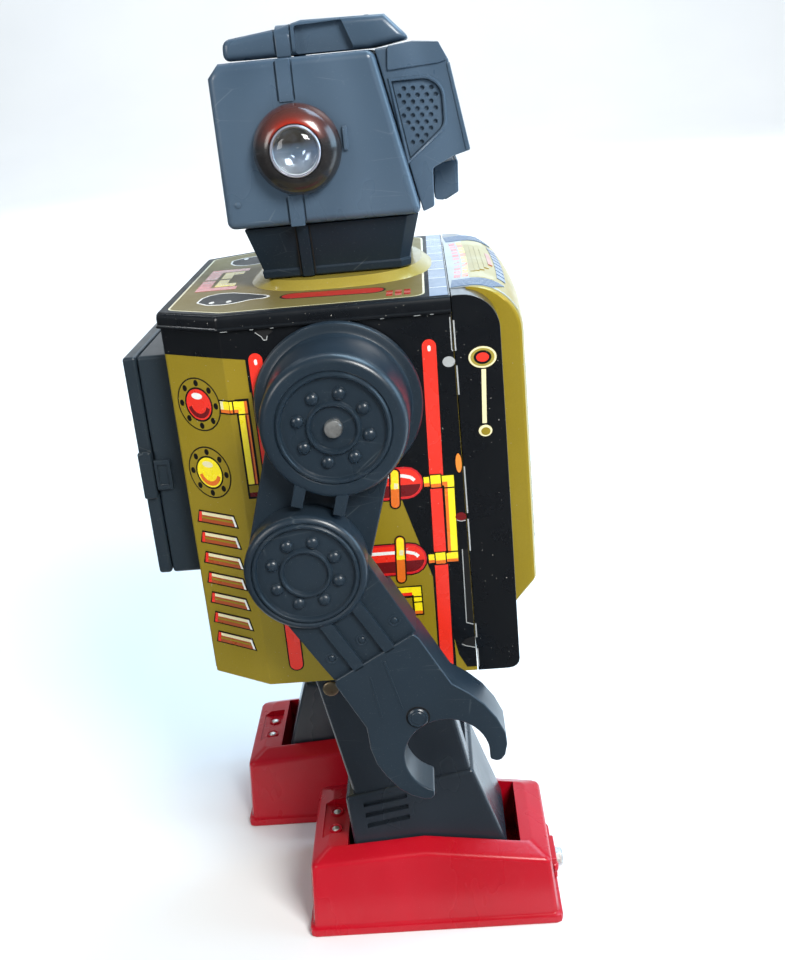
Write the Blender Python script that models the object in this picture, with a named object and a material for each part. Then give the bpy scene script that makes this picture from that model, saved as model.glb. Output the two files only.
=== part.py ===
"""A battery-operated walking tin robot: pressed-tin torso, moulded head, arms, legs and feet.

The robot faces -Y, its right side is -X, and it stands on the plane z = 0. Every size below is in
millimetres; MM turns it into the scene's metres when a mesh is made.
"""

import math

import bmesh
import bpy
from mathutils import Vector

MM = 0.001
GAP = 0.3  # clearance between neighbouring pieces

# Torso: pressed tin, open where the lid, chest and base close it
TORSO_HALF_WIDTH = 54.2
TORSO_SEAM_Y = -36.25
TORSO_CREASE_Y = 27.35
TORSO_REAR_Y = 46.0
TORSO_CHAMFER_X = 11.3
TORSO_BOTTOM_Z = 97.1
TORSO_TOP_Z = 212.3
TIN = 1.0
LID_LIP_Z = 207.8
LID_LIP_OUT = 0.9
COLLAR_RADII = (31.0, 28.5)
COLLAR_TOP_RADII = (28.0, 25.5)
COLLAR_HEIGHT = 2.6
COLLAR_Y = -4.1

# Chest pressing and its raised relief
CHEST_FRONT_Y = -49.25
CHEST_TOP_RADIUS = 10.0
CHEST_WALL = 1.2
RELIEF_HALF_WIDTH = 46.0
RELIEF_FRONT_Y = -56.2
RELIEF_BULGE = 1.8
RELIEF_LOW_Z = 115.0
RELIEF_SLANT_Z = 122.0
RELIEF_TOP_RADIUS = 14.0

# Battery box
BOX_HALF_WIDTH = 36.0
BOX_LOW_Z = 128.8
BOX_HIGH_Z = 198.4
BOX_INNER_Y = 24.8
BOX_SEAM_Y = 54.3
BOX_REAR_Y = 60.5
BOX_WALL = 1.3
CELL_RADIUS = 16.3
CELL_LENGTH = 61.5
CELL_TIP_RADIUS = 4.8
DOOR_AXIS = (38.0, 54.15)
KNUCKLE_RADIUS = 2.0
DOOR_PIN_RADIUS = 0.8
DOOR_PIN_HOLE = 1.15

# Switch on the back of the torso
SWITCH_Z = 113.0
SWITCH_TRAVEL = 8.0

# Neck and head
NECK_BASE_Z = 215.2
NECK_TOP_Z = 230.7
HEAD_HALF_WIDTH = 30.0
HEAD_LOW_Z = 231.2
HEAD_TOP_Z = 276.0
HEAD_REAR_Y = 25.3
HEAD_FRONT_LOW_Y = -30.6
HEAD_FRONT_TOP_Y = -20.7
HEAD_WALL = 1.6
CROWN_TOP_Z = 285.4
FACE_HALF_WIDTH = 26.8
LENS_Y = 2.6
LENS_Z = 251.9
LENS_RADIUS = 12.4
LENS_HEIGHT = 7.5
REFLECTOR_RADIUS = 9.5
REFLECTOR_DEPTH = 9.0

# Arms
SHOULDER_Y = -3.25
SHOULDER_Z = 185.1
SHOULDER_FACE_X = 78.2
FLANGE_RADIUS = 23.5
SHOULDER_RADIUS = 19.6
SHOULDER_FACE_RADIUS = 18.2
ELBOW_Y = 8.55
ELBOW_Z = 145.2
ELBOW_FACE_X = 80.4
ELBOW_RADIUS = 16.9
ARM_OUTER_X = 70.4
ARM_INNER_X = 60.0
ARM_HALF = 17.0
ARM_RIB_PLACE = 5.6
ARM_RIB_HALF = 1.6
ARM_RIB_X = 73.6
FOREARM_INNER_X = 67.2
FOREARM_HALF = 14.6
FOREARM_LEAN = math.radians(29.4)  # forward of straight down
HAND_RIVET_REACH = 54.2
CLAW_REACH = 66.5
CLAW_RADIUS = 18.6
CLAW_GAP_REACH = 69.6
CLAW_GAP_RADIUS = 12.2
CLAW_MOUTH_HALF = 10.4
CLAW_TIP_REACH = 79.6

# Legs and feet
HIP_Z = 101.0
ANKLE_Z = 22.0
HALF_STRIDE = 14.5
LEG_X = 30.7
LEG_HALF_WIDTH = 14.3
LEG_HALF_DEPTH = 20.0
LEG_TOP_RADIUS = 20.0
BLOCK_HALF_WIDTH = 15.4
HIP_SHAFT_RADIUS = 2.0
HIP_HOLE_RADIUS = 2.35
FOOT_LENGTH = 85.0
FOOT_HALF_WIDTH = 25.0
FOOT_BEHIND = 1.45  # how far the foot's middle lies behind the ankle
FOOT_DRAFT = 3.4
FOOT_LIP_HEIGHT = 3.2
FOOT_LIP_OUT = 1.2
FOOT_WALL = 1.8
ROLLER_RADIUS = 4.6
ROLLER_CLEARANCE = 0.3
TOE_SCREW_Z = 6.8

# Drive
CRANK_Z = 136.0
GEAR_MODULE = 1.2
CRANK_TEETH = 24
PINION_TEETH = 8
PLATE_X = 12.6
PLATE_THICKNESS = 1.2
MOTOR_RADIUS = 10.0
MOTOR_LENGTH = 26.0

ROBOT_MATERIALS = {
    "tin_black": ((0.012, 0.014, 0.02), 0.25, 0.3),
    "tin_gold": ((0.42, 0.3, 0.03), 0.35, 0.7),
    "plastic_black": ((0.025, 0.031, 0.04), 0.4, 0.0),
    "plastic_red": ((0.55, 0.01, 0.025), 0.28, 0.0),
    "steel": ((0.6, 0.6, 0.62), 0.3, 1.0),
    "chrome": ((0.85, 0.85, 0.87), 0.06, 1.0),
    "lens_red": ((0.3, 0.02, 0.01), 0.08, 0.0),
    "glass": ((0.9, 0.9, 0.88), 0.05, 0.0),
    "brass": ((0.7, 0.5, 0.2), 0.3, 1.0),
    "cell_jacket": ((0.1, 0.12, 0.3), 0.4, 0.2),
    "gear_plastic": ((0.75, 0.74, 0.68), 0.45, 0.0),
}


def clear_scene():
    for obj in list(bpy.data.objects):
        bpy.data.objects.remove(obj, do_unlink=True)


def material(name):
    found = bpy.data.materials.get(name)
    if found:
        return found
    colour, roughness, metallic = ROBOT_MATERIALS[name]
    made = bpy.data.materials.new(name)
    made.use_nodes = True
    shader = made.node_tree.nodes["Principled BSDF"]
    shader.inputs["Base Color"].default_value = (*colour, 1.0)
    shader.inputs["Roughness"].default_value = roughness
    shader.inputs["Metallic"].default_value = metallic
    made.diffuse_color = (*colour, 1.0)
    return made


def joint_empty(name, place, parent=None):
    """An empty on a joint's axis, given in the robot's own frame; the pieces of that body hang from it."""
    empty = bpy.data.objects.new(name, None)
    empty.empty_display_size = 0.01
    bpy.context.scene.collection.objects.link(empty)
    world = Vector(place) * MM
    empty["place"] = list(world)
    if parent:
        empty.parent = parent
        world = world - Vector(parent["place"])
    empty.location = world
    return empty


def solid(name, bm, finish, body=None, cutter=False):
    """Makes an object of a mesh given in millimetres in the robot's frame, hung from its body's empty."""
    bmesh.ops.remove_doubles(bm, verts=bm.verts, dist=1e-5)
    bmesh.ops.recalc_face_normals(bm, faces=bm.faces)
    origin = Vector(body["place"]) if body else Vector()
    for vert in bm.verts:
        vert.co = vert.co * MM - origin
    mesh = bpy.data.meshes.new(name)
    bm.to_mesh(mesh)
    bm.free()
    mesh.shade_smooth()
    mesh.set_sharp_from_angle(angle=math.radians(35))
    obj = bpy.data.objects.new(name, mesh)
    bpy.context.scene.collection.objects.link(obj)
    obj.parent = body
    if cutter:
        obj.hide_render = True
        obj.display_type = "WIRE"
    else:
        mesh.materials.append(material(finish))
    return obj


def boolean(obj, bm, operation):
    """Adds to or cuts from an object with a helper mesh given in the robot's frame."""
    helper = solid(f"{obj.name}_{operation.lower()}", bm, None, obj.parent, cutter=True)
    modifier = obj.modifiers.new(helper.name, "BOOLEAN")
    modifier.operation = operation
    modifier.solver = "EXACT"
    modifier.object = helper


def cut(obj, *meshes):
    for bm in meshes:
        boolean(obj, bm, "DIFFERENCE")


def add(obj, *meshes):
    for bm in meshes:
        boolean(obj, bm, "UNION")


def loft(rings):
    """A closed solid through rings of equal point counts, capped at both ends."""
    bm = bmesh.new()
    made = [[bm.verts.new(point) for point in ring] for ring in rings]
    count = len(made[0])
    for low, high in zip(made, made[1:]):
        for i in range(count):
            j = (i + 1) % count
            bm.faces.new((low[i], low[j], high[j], high[i]))
    bm.faces.new(made[0][::-1])
    bm.faces.new(made[-1])
    return bm


def placed(axis, outline, height):
    """Points of an outline set at a height along an axis: X takes (y, z), Y (x, z) and Z (x, y)."""
    order = {
        "X": lambda a, b: (height, a, b),
        "Y": lambda a, b: (a, height, b),
        "Z": lambda a, b: (a, b, height),
    }
    return [order[axis](a, b) for a, b in outline]


def slab(axis, outline, low, high):
    return loft([placed(axis, outline, low), placed(axis, outline, high)])


def block(x, y, z):
    return slab("Z", [(x[0], y[0]), (x[1], y[0]), (x[1], y[1]), (x[0], y[1])], z[0], z[1])


def arc(centre, radius, start, end, steps):
    """Points round part of a circle, angles in degrees."""
    points = []
    for i in range(steps + 1):
        angle = math.radians(start + (end - start) * i / steps)
        points.append((centre[0] + radius * math.cos(angle), centre[1] + radius * math.sin(angle)))
    return points


def circle(centre, radius, steps=24):
    return arc(centre, radius, 0, 360, steps)[:-1]


def rod(axis, centre, radius, low, high, steps=24):
    return slab(axis, circle(centre, radius, steps), low, high)


def turned(axis, centre, profile, steps=32):
    """A solid of revolution: profile is (radius, height) pairs from one end to the other."""
    return loft([placed(axis, circle(centre, radius, steps), height) for radius, height in profile])


def superellipse(centre, radii, power=2.6, steps=36):
    points = []
    for i in range(steps):
        angle = 2 * math.pi * i / steps
        c, s = math.cos(angle), math.sin(angle)
        points.append(
            (
                centre[0] + radii[0] * math.copysign(abs(c) ** (2 / power), c),
                centre[1] + radii[1] * math.copysign(abs(s) ** (2 / power), s),
            )
        )
    return points


def turn(point, centre, angle):
    """A (y, z) point turned about a centre, positive taking +y towards +z."""
    y, z = point[0] - centre[0], point[1] - centre[1]
    c, s = math.cos(angle), math.sin(angle)
    return (centre[0] + y * c - z * s, centre[1] + y * s + z * c)


def torso_outline(inset, front):
    """The torso's plan, inset from the tin's outer face and open at the given front line."""
    half = TORSO_HALF_WIDTH - inset
    rear = TORSO_REAR_Y - inset
    slope = (TORSO_REAR_Y - TORSO_CREASE_Y) / TORSO_CHAMFER_X
    shift = inset * (math.hypot(1, slope) - 1) / slope
    chamfer = TORSO_HALF_WIDTH - TORSO_CHAMFER_X - inset * (math.hypot(1, slope) - slope)
    crease = TORSO_CREASE_Y - shift * slope * 0.5
    return [(-half, front), (-half, crease), (-chamfer, rear), (chamfer, rear), (half, crease), (half, front)]


def make_body_shell():
    outer = torso_outline(0, TORSO_SEAM_Y)
    inner = torso_outline(TIN, TORSO_SEAM_Y)
    shell = solid(
        "body_shell",
        slab("Z", outer + inner[::-1], TORSO_BOTTOM_Z + TIN + GAP, TORSO_TOP_Z - TIN - GAP),
        "tin_gold",
    )
    box_hole = block(
        (-BOX_HALF_WIDTH - GAP, BOX_HALF_WIDTH + GAP),
        (TORSO_REAR_Y - 4, TORSO_REAR_Y + 4),
        (BOX_LOW_Z - GAP, BOX_HIGH_Z + GAP),
    )
    switch_hole = block((-9, 9), (TORSO_REAR_Y - 4, TORSO_REAR_Y + 4), (SWITCH_Z - 2, SWITCH_Z + 2))
    shoulder_hole = rod("X", (SHOULDER_Y, SHOULDER_Z), 3.4, -60, 60)
    cut(shell, box_hole, switch_hole, shoulder_hole)


def make_top_plate():
    outer = torso_outline(-LID_LIP_OUT, TORSO_SEAM_Y)
    lid = solid("top_plate", slab("Z", outer, LID_LIP_Z, TORSO_TOP_Z), "tin_gold")
    cut(lid, slab("Z", torso_outline(-GAP, TORSO_SEAM_Y - 5), LID_LIP_Z - 5, TORSO_TOP_Z - TIN))
    collar = loft(
        [
            placed("Z", superellipse((0, COLLAR_Y), COLLAR_RADII), TORSO_TOP_Z - TIN / 2),
            placed("Z", superellipse((0, COLLAR_Y), COLLAR_TOP_RADII), TORSO_TOP_Z + COLLAR_HEIGHT),
        ]
    )
    add(lid, collar)
    cut(lid, rod("Z", (0, COLLAR_Y), 8, TORSO_TOP_Z - 5, TORSO_TOP_Z + 5))


def make_base_plate():
    base = solid(
        "base_plate",
        slab("Z", torso_outline(0, TORSO_SEAM_Y), TORSO_BOTTOM_Z, TORSO_BOTTOM_Z + TIN),
        "tin_gold",
    )
    for side in (-1, 1):
        x = sorted((side * (LEG_X - LEG_HALF_WIDTH - 1.2), side * (LEG_X + LEG_HALF_WIDTH + 1.2)))
        reach = LEG_HALF_DEPTH + 4.0
        cut(base, block(x, (SHOULDER_Y - reach, SHOULDER_Y + reach), (90, 105)))


def chest_profile(inset, rear):
    """The chest pressing's side outline in (y, z): a plain block with a round top front edge."""
    front = CHEST_FRONT_Y + inset
    low = TORSO_BOTTOM_Z + inset
    radius = CHEST_TOP_RADIUS - inset
    corner = (CHEST_FRONT_Y + CHEST_TOP_RADIUS, TORSO_TOP_Z - CHEST_TOP_RADIUS)
    lower = [(rear, low), (front + 3, low), (front, low + 3)]
    return lower + arc(corner, radius, 180, 90, 6) + [(rear, corner[1] + radius)]


def relief_profile(depth):
    """The raised relief's side outline in (y, z) where it stands out by depth from the chest's front."""
    front = CHEST_FRONT_Y - depth
    radius = RELIEF_TOP_RADIUS
    corner = (front + radius, TORSO_TOP_Z + 0.4 - radius)
    return (
        [(CHEST_FRONT_Y + 1, RELIEF_LOW_Z), (CHEST_FRONT_Y, RELIEF_LOW_Z), (front, RELIEF_SLANT_Z)]
        + arc(corner, radius, 180, 90, 6)
        + [(CHEST_FRONT_Y + 5, TORSO_TOP_Z - 6)]
    )


def make_front_cover():
    rear = TORSO_SEAM_Y - GAP
    cover = solid(
        "front_cover",
        slab("X", chest_profile(0, rear), -TORSO_HALF_WIDTH, TORSO_HALF_WIDTH),
        "tin_black",
    )
    rings = []
    steps = 6
    for i in range(steps + 1):
        across = -1 + 2 * i / steps
        depth = CHEST_FRONT_Y - RELIEF_FRONT_Y + RELIEF_BULGE * (1 - across * across)
        rings.append(placed("X", relief_profile(depth), across * RELIEF_HALF_WIDTH))
    add(cover, loft(rings))
    hollow = slab(
        "X",
        chest_profile(CHEST_WALL, rear + 5),
        -TORSO_HALF_WIDTH + CHEST_WALL,
        TORSO_HALF_WIDTH - CHEST_WALL,
    )
    cut(cover, hollow)


def knuckle(low, high, web_y):
    """A hinge barrel at the battery door's axis with the web that ties it to a wall."""
    barrel = rod("Z", DOOR_AXIS, KNUCKLE_RADIUS, low, high, 16)
    web = block((BOX_HALF_WIDTH - 1, DOOR_AXIS[0]), web_y, (low, high))
    return barrel, web


def make_battery_box(door_body):
    x = (-BOX_HALF_WIDTH, BOX_HALF_WIDTH)
    wall = BOX_WALL
    inner_x = (x[0] + wall, x[1] - wall)
    inner_z = (BOX_LOW_Z + wall, BOX_HIGH_Z - wall)
    pin_hole = rod("Z", DOOR_AXIS, DOOR_PIN_HOLE, BOX_LOW_Z, BOX_HIGH_Z, 16)

    body = block(x, (BOX_INNER_Y, BOX_SEAM_Y), (BOX_LOW_Z, BOX_HIGH_Z))
    case = solid("battery_case", body, "plastic_black")
    for low in (145.4, 177.4):
        add(case, *knuckle(low, low + 6, (DOOR_AXIS[1] - KNUCKLE_RADIUS, BOX_SEAM_Y)))
    add(case, block((x[0] - 1.2, x[0] + 1), (51.2, BOX_SEAM_Y), (157.0, 166.5)))
    cut(case, block(inner_x, (BOX_INNER_Y + wall, BOX_SEAM_Y + 5), inner_z), pin_hole.copy())
    cut(case, block((x[0] - 3, x[0] - 0.6), (52.2, BOX_SEAM_Y - 0.9), (158.4, 165.1)))

    door = solid(
        "battery_door",
        block(x, (BOX_SEAM_Y + GAP, BOX_REAR_Y), (BOX_LOW_Z, BOX_HIGH_Z)),
        "plastic_black",
        door_body,
    )
    for low in (138.0, 184.0):
        add(door, *knuckle(low, low + 6, (BOX_SEAM_Y + GAP, DOOR_AXIS[1] + KNUCKLE_RADIUS)))
    add(door, block((x[0] - 1.8, x[0] + 1), (BOX_SEAM_Y + GAP, BOX_REAR_Y), (154.5, 169.4)))
    cut(door, block(inner_x, (BOX_SEAM_Y - 5, BOX_REAR_Y - wall), inner_z), pin_hole)
    solid("door_hinge_pin", rod("Z", DOOR_AXIS, DOOR_PIN_RADIUS, 137.0, 191.0, 12), "steel")


def make_batteries():
    middle = BOX_INNER_Y + BOX_WALL + GAP + CELL_RADIUS
    low = BOX_LOW_Z + BOX_WALL + GAP + CELL_RADIUS
    for name, z, way in (("battery_lower", low, 1), ("battery_upper", low + 2 * CELL_RADIUS + 2 * GAP, -1)):
        half = CELL_LENGTH / 2
        shape = [
            (CELL_RADIUS, -half),
            (CELL_RADIUS, half),
            (CELL_TIP_RADIUS, half),
            (CELL_TIP_RADIUS, half + 1.4),
        ]
        profile = [(radius, x * way) for radius, x in shape]
        solid(name, turned("X", (middle, z), profile, 28), "cell_jacket")
    for name, way in (("contact_strip_right", -1), ("contact_strip_left", 1)):
        x = sorted((way * (BOX_HALF_WIDTH - BOX_WALL - GAP), way * (BOX_HALF_WIDTH - BOX_WALL - GAP - 0.8)))
        solid(name, block(x, (middle - 5, middle + 5), (BOX_LOW_Z + 6, BOX_HIGH_Z - 6)), "brass")


def make_switch(switch_body):
    x = -SWITCH_TRAVEL / 2
    lever = solid(
        "switch_lever",
        block((x - 3.4, x + 3.4), (TORSO_REAR_Y + GAP, TORSO_REAR_Y + 3.6), (SWITCH_Z - 3.4, SWITCH_Z + 3.4)),
        "plastic_red",
        switch_body,
    )
    stem_y = (TORSO_REAR_Y - TIN - 3, TORSO_REAR_Y + 1)
    add(lever, block((x - 1.5, x + 1.5), stem_y, (SWITCH_Z - 1.5, SWITCH_Z + 1.5)))


def make_neck():
    def ring(half_x, front, rear, z, chamfer):
        return [
            (half_x, rear, z),
            (-half_x, rear, z),
            (-half_x, front + chamfer, z),
            (-half_x + chamfer, front, z),
            (half_x - chamfer, front, z),
            (half_x, front + chamfer, z),
        ]

    neck = solid(
        "neck",
        loft(
            [
                ring(22.0, -25.8, 17.6, NECK_BASE_Z, 2.9),
                ring(22.4, -26.1, 17.8, NECK_BASE_Z + 2.6, 2.9),
                ring(26.6, -29.4, 21.0, NECK_TOP_Z, 3.4),
            ]
        ),
        "plastic_black",
    )
    cut(neck, block((-18, 18), (-20, 14), (NECK_BASE_Z - 3, NECK_TOP_Z + 3)))


def head_profile(inset):
    return [
        (HEAD_FRONT_LOW_Y + inset, HEAD_LOW_Z + inset),
        (HEAD_REAR_Y - inset, HEAD_LOW_Z + inset),
        (HEAD_REAR_Y - inset, HEAD_TOP_Z - 4),
        (HEAD_REAR_Y - 3 - inset, HEAD_TOP_Z - inset),
        (HEAD_FRONT_TOP_Y + inset, HEAD_TOP_Z - inset),
    ]


def make_head():
    x = HEAD_HALF_WIDTH
    head = solid("head_shell", slab("X", head_profile(0), -x, x), "plastic_black")
    cut(
        head,
        slab("X", head_profile(HEAD_WALL), -x + HEAD_WALL, x - HEAD_WALL),
        rod("X", (LENS_Y, LENS_Z), REFLECTOR_RADIUS + GAP, -x - 5, x + 5),
        block((-18, 18), (-20, 14), (HEAD_LOW_Z - 3, HEAD_LOW_Z + 3)),
    )

    base = HEAD_TOP_Z + GAP
    crown_side = [(20.2, base), (19.6, 280.6), (17.2, 282.0), (5.6, 283.8), (-1.4, CROWN_TOP_Z)]
    crown_side += [(-24.6, CROWN_TOP_Z - 0.6), (-31.4, 278.4), (-31.4, 277.4), (-20.0, base)]
    crown = solid("crown", slab("X", crown_side, -24.0, 24.0), "plastic_black")
    for side in (-1, 1):
        recess = block(sorted((side * 21.5, side * 30)), (-14.5, 1.0), (279.0, 284.2))
        cut(crown, recess)

    # The face stands in front of the head's slanted front edge and overhangs the mouth.
    slope = (HEAD_FRONT_TOP_Y - HEAD_FRONT_LOW_Y) / (HEAD_TOP_Z - HEAD_LOW_Z)

    def front_edge(z):
        return HEAD_FRONT_LOW_Y + slope * (z - HEAD_LOW_Z) - GAP

    face_side = [
        (front_edge(HEAD_TOP_Z), HEAD_TOP_Z),
        (-31.0, 276.9),
        (-38.6, 276.2),
        (-41.0, 271.6),
        (-45.6, 246.9),
        (-40.6, 245.7),
        (-34.6, 243.0),
        (-34.2, 232.4),
        (front_edge(HEAD_LOW_Z), HEAD_LOW_Z),
    ]
    face = solid("face", slab("X", face_side, -FACE_HALF_WIDTH, FACE_HALF_WIDTH), "plastic_black")
    cut(face, slab("X", [(front_edge(258), 258), (front_edge(266), 266), (-36, 262), (-36, 256)], -8, 8))
    for side in (-1, 1):
        outer = sorted((side * (FACE_HALF_WIDTH - 2.2), side * (FACE_HALF_WIDTH + 3)))
        cut(face, slab("X", grille_outline(0.0), *outer))
        inner = sorted((side * (FACE_HALF_WIDTH - 2.2 + GAP), side * (FACE_HALF_WIDTH - 1.0)))
        solid(f"cheek_grille_{side_name(side)}", slab("X", grille_outline(GAP), *inner), "plastic_black")
    mouth_side = [(-34.9, 242.4), (-41.6, 243.6), (-41.2, 234.4), (-37.0, 232.4), (-34.5, 232.8)]
    solid("mouth_grille", slab("X", mouth_side, -13.0, 13.0), "plastic_black")


def grille_outline(inset):
    """The D-shaped cheek recess in (y, z)."""
    front = arc((-32.6, 261.4), 5.6 - inset, 90, 180, 4)
    lower = arc((-34.4, 256.0), 3.8 - inset, 180, 225, 2)
    return [(-27.2 - inset, 267.0 - inset)] + front + lower + [(-29.9 - inset, 249.0 + 2 * inset)]


def make_lamp(side):
    name = side_name(side)
    centre = (LENS_Y, LENS_Z)
    face = HEAD_HALF_WIDTH + GAP
    rim = face + 1.2
    dome = [(LENS_RADIUS, side * face), (LENS_RADIUS, side * rim)]
    steps = 6
    height = LENS_HEIGHT - 1.2
    for i in range(1, steps):
        angle = 0.5 * math.pi * i / steps
        dome.append((LENS_RADIUS * math.cos(angle), side * (rim + height * math.sin(angle))))
    dome.append((0.6, side * (rim + height)))
    lens = solid(f"lens_{name}", turned("X", centre, dome, 28), "lens_red")
    hollow = [(REFLECTOR_RADIUS, face - 2), (REFLECTOR_RADIUS - 0.5, face + 2.2), (3.0, face + 4.4)]
    hollow = [(radius, side * x) for radius, x in hollow]
    cut(lens, turned("X", centre, hollow, 24))

    mouth = face - GAP
    back = mouth - REFLECTOR_DEPTH
    bowl = [
        (4.2, side * back),
        (REFLECTOR_RADIUS, side * (mouth - 1.0)),
        (REFLECTOR_RADIUS, side * mouth),
        (REFLECTOR_RADIUS - 0.8, side * mouth),
        (3.4, side * (back + 1.0)),
    ]
    reflector = solid(f"reflector_{name}", turned("X", centre, bowl, 24), "chrome")
    cut(reflector, rod("X", centre, 2.6, *sorted((side * (back - 3), side * (back + 4))), 16))
    bulb = [(2.2, back - 3), (2.2, back + 2), (2.4, back + 4), (1.2, back + 6.2)]
    bulb = [(radius, side * x) for radius, x in bulb]
    solid(f"bulb_{name}", turned("X", centre, bulb, 16), "glass")


def side_name(side):
    return "left" if side > 0 else "right"


def spread(side, *heights):
    """Heights along X on the given side, in rising order."""
    return sorted(side * height for height in heights)


def make_upper_arm(side, body):
    name = side_name(side)
    shoulder = (SHOULDER_Y, SHOULDER_Z)
    elbow = (ELBOW_Y, ELBOW_Z)
    flange_x = TORSO_HALF_WIDTH + LID_LIP_OUT + GAP
    stack = [
        (FLANGE_RADIUS, flange_x),
        (FLANGE_RADIUS, flange_x + 2.4),
        (SHOULDER_RADIUS + 0.7, flange_x + 3.0),
        (SHOULDER_RADIUS, flange_x + 4.0),
        (SHOULDER_RADIUS - 0.4, SHOULDER_FACE_X - 1.2),
        (SHOULDER_FACE_RADIUS, SHOULDER_FACE_X),
    ]
    profile = [(radius, side * x) for radius, x in stack]
    arm = solid(f"upper_arm_{name}", turned("X", shoulder, profile, 40), "plastic_black", body)
    lean = math.atan2(ELBOW_Y - SHOULDER_Y, SHOULDER_Z - ELBOW_Z)
    length = math.dist(shoulder, elbow)

    def leaned(across, reach):
        return turn((SHOULDER_Y + across, SHOULDER_Z - reach), shoulder, lean)

    plate = [leaned(-ARM_HALF, 0), leaned(-ARM_HALF, length), leaned(ARM_HALF, length), leaned(ARM_HALF, 0)]
    add(
        arm,
        slab("X", plate, *spread(side, ARM_INNER_X, ARM_OUTER_X)),
        rod("X", elbow, ARM_HALF + 0.1, *spread(side, ARM_INNER_X, ARM_OUTER_X), 32),
    )
    top, end = SHOULDER_RADIUS - 4, length - ELBOW_RADIUS - 0.2
    for place in (-ARM_RIB_PLACE, ARM_RIB_PLACE):
        near, far = place - ARM_RIB_HALF, place + ARM_RIB_HALF
        rib = [leaned(near, top), leaned(far, top), leaned(far, end), leaned(near, end)]
        add(arm, slab("X", rib, *spread(side, ARM_OUTER_X - 1, ARM_RIB_X)))
    pin_hole = rod("X", shoulder, 2.9, *spread(side, flange_x - 3, SHOULDER_FACE_X + 3), 20)
    cut(arm, pin_hole)
    pin = [(3.0, 44.0), (3.0, 47.0), (2.5, 47.0), (2.5, SHOULDER_FACE_X + 0.3), (2.5, SHOULDER_FACE_X + 0.8)]
    pin = [(radius, side * x) for radius, x in pin]
    solid(f"shoulder_pin_{name}", turned("X", shoulder, pin, 16), "steel")


def forearm_point(reach, across):
    """A point in (y, z) at a distance down the forearm and across it, positive towards the front."""
    along = (-math.sin(FOREARM_LEAN), -math.cos(FOREARM_LEAN))
    ahead = (-math.cos(FOREARM_LEAN), math.sin(FOREARM_LEAN))
    return (
        ELBOW_Y + reach * along[0] + across * ahead[0],
        ELBOW_Z + reach * along[1] + across * ahead[1],
    )


def forearm_outline(points):
    return [forearm_point(reach, across) for reach, across in points]


def forearm_strip(start, end):
    half = FOREARM_HALF
    return forearm_outline([(start, -half), (end, -half), (end, half), (start, half)])


def make_forearm(side, body):
    name = side_name(side)
    elbow = (ELBOW_Y, ELBOW_Z)
    disc_x = spread(side, ARM_OUTER_X + GAP, ELBOW_FACE_X)
    bar_x = spread(side, FOREARM_INNER_X, ELBOW_FACE_X - 0.8)
    arm = solid(f"forearm_{name}", rod("X", elbow, ELBOW_RADIUS, *disc_x, 32), "plastic_black", body)
    bar_start = ARM_HALF + 0.5
    neck_bar = forearm_strip(0, bar_start + 2)
    add(arm, slab("X", neck_bar, *spread(side, ARM_OUTER_X + GAP, ELBOW_FACE_X - 0.8)))
    claw = rod("X", forearm_point(CLAW_REACH, -0.2), CLAW_RADIUS, *bar_x, 36)
    add(arm, slab("X", forearm_strip(bar_start, CLAW_REACH - 4), *bar_x), claw)
    far = spread(side, FOREARM_INNER_X - 3, ELBOW_FACE_X + 3)
    mouth = [(CLAW_GAP_REACH, -CLAW_MOUTH_HALF), (110, -CLAW_MOUTH_HALF), (110, CLAW_MOUTH_HALF)]
    mouth.append((CLAW_GAP_REACH, CLAW_MOUTH_HALF))
    tips = [(CLAW_TIP_REACH, -40), (110, -40), (110, 40), (CLAW_TIP_REACH, 40)]
    cut(
        arm,
        rod("X", forearm_point(CLAW_GAP_REACH, -0.3), CLAW_GAP_RADIUS, *far, 32),
        slab("X", forearm_outline(mouth), *far),
        slab("X", forearm_outline(tips), *far),
        rod("X", forearm_point(HAND_RIVET_REACH, 0), 1.6, *far, 12),
    )
    rivet = forearm_point(HAND_RIVET_REACH, 0)
    outer = ELBOW_FACE_X - 0.8 + GAP
    shape = [(1.3, FOREARM_INNER_X + 2), (1.3, outer), (2.7, outer), (2.2, outer + 0.8)]
    shape = [(radius, side * x) for radius, x in shape]
    solid(f"hand_rivet_{name}", turned("X", rivet, shape, 14), "plastic_black", body)


def leg_lean(side):
    """The right leg (-X) stands forward and the left leg back by the same lean."""
    return math.atan2(HALF_STRIDE, HIP_Z - ANKLE_Z) * (1 if side > 0 else -1)


def ankle_y(side):
    return SHOULDER_Y + side * HALF_STRIDE


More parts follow.
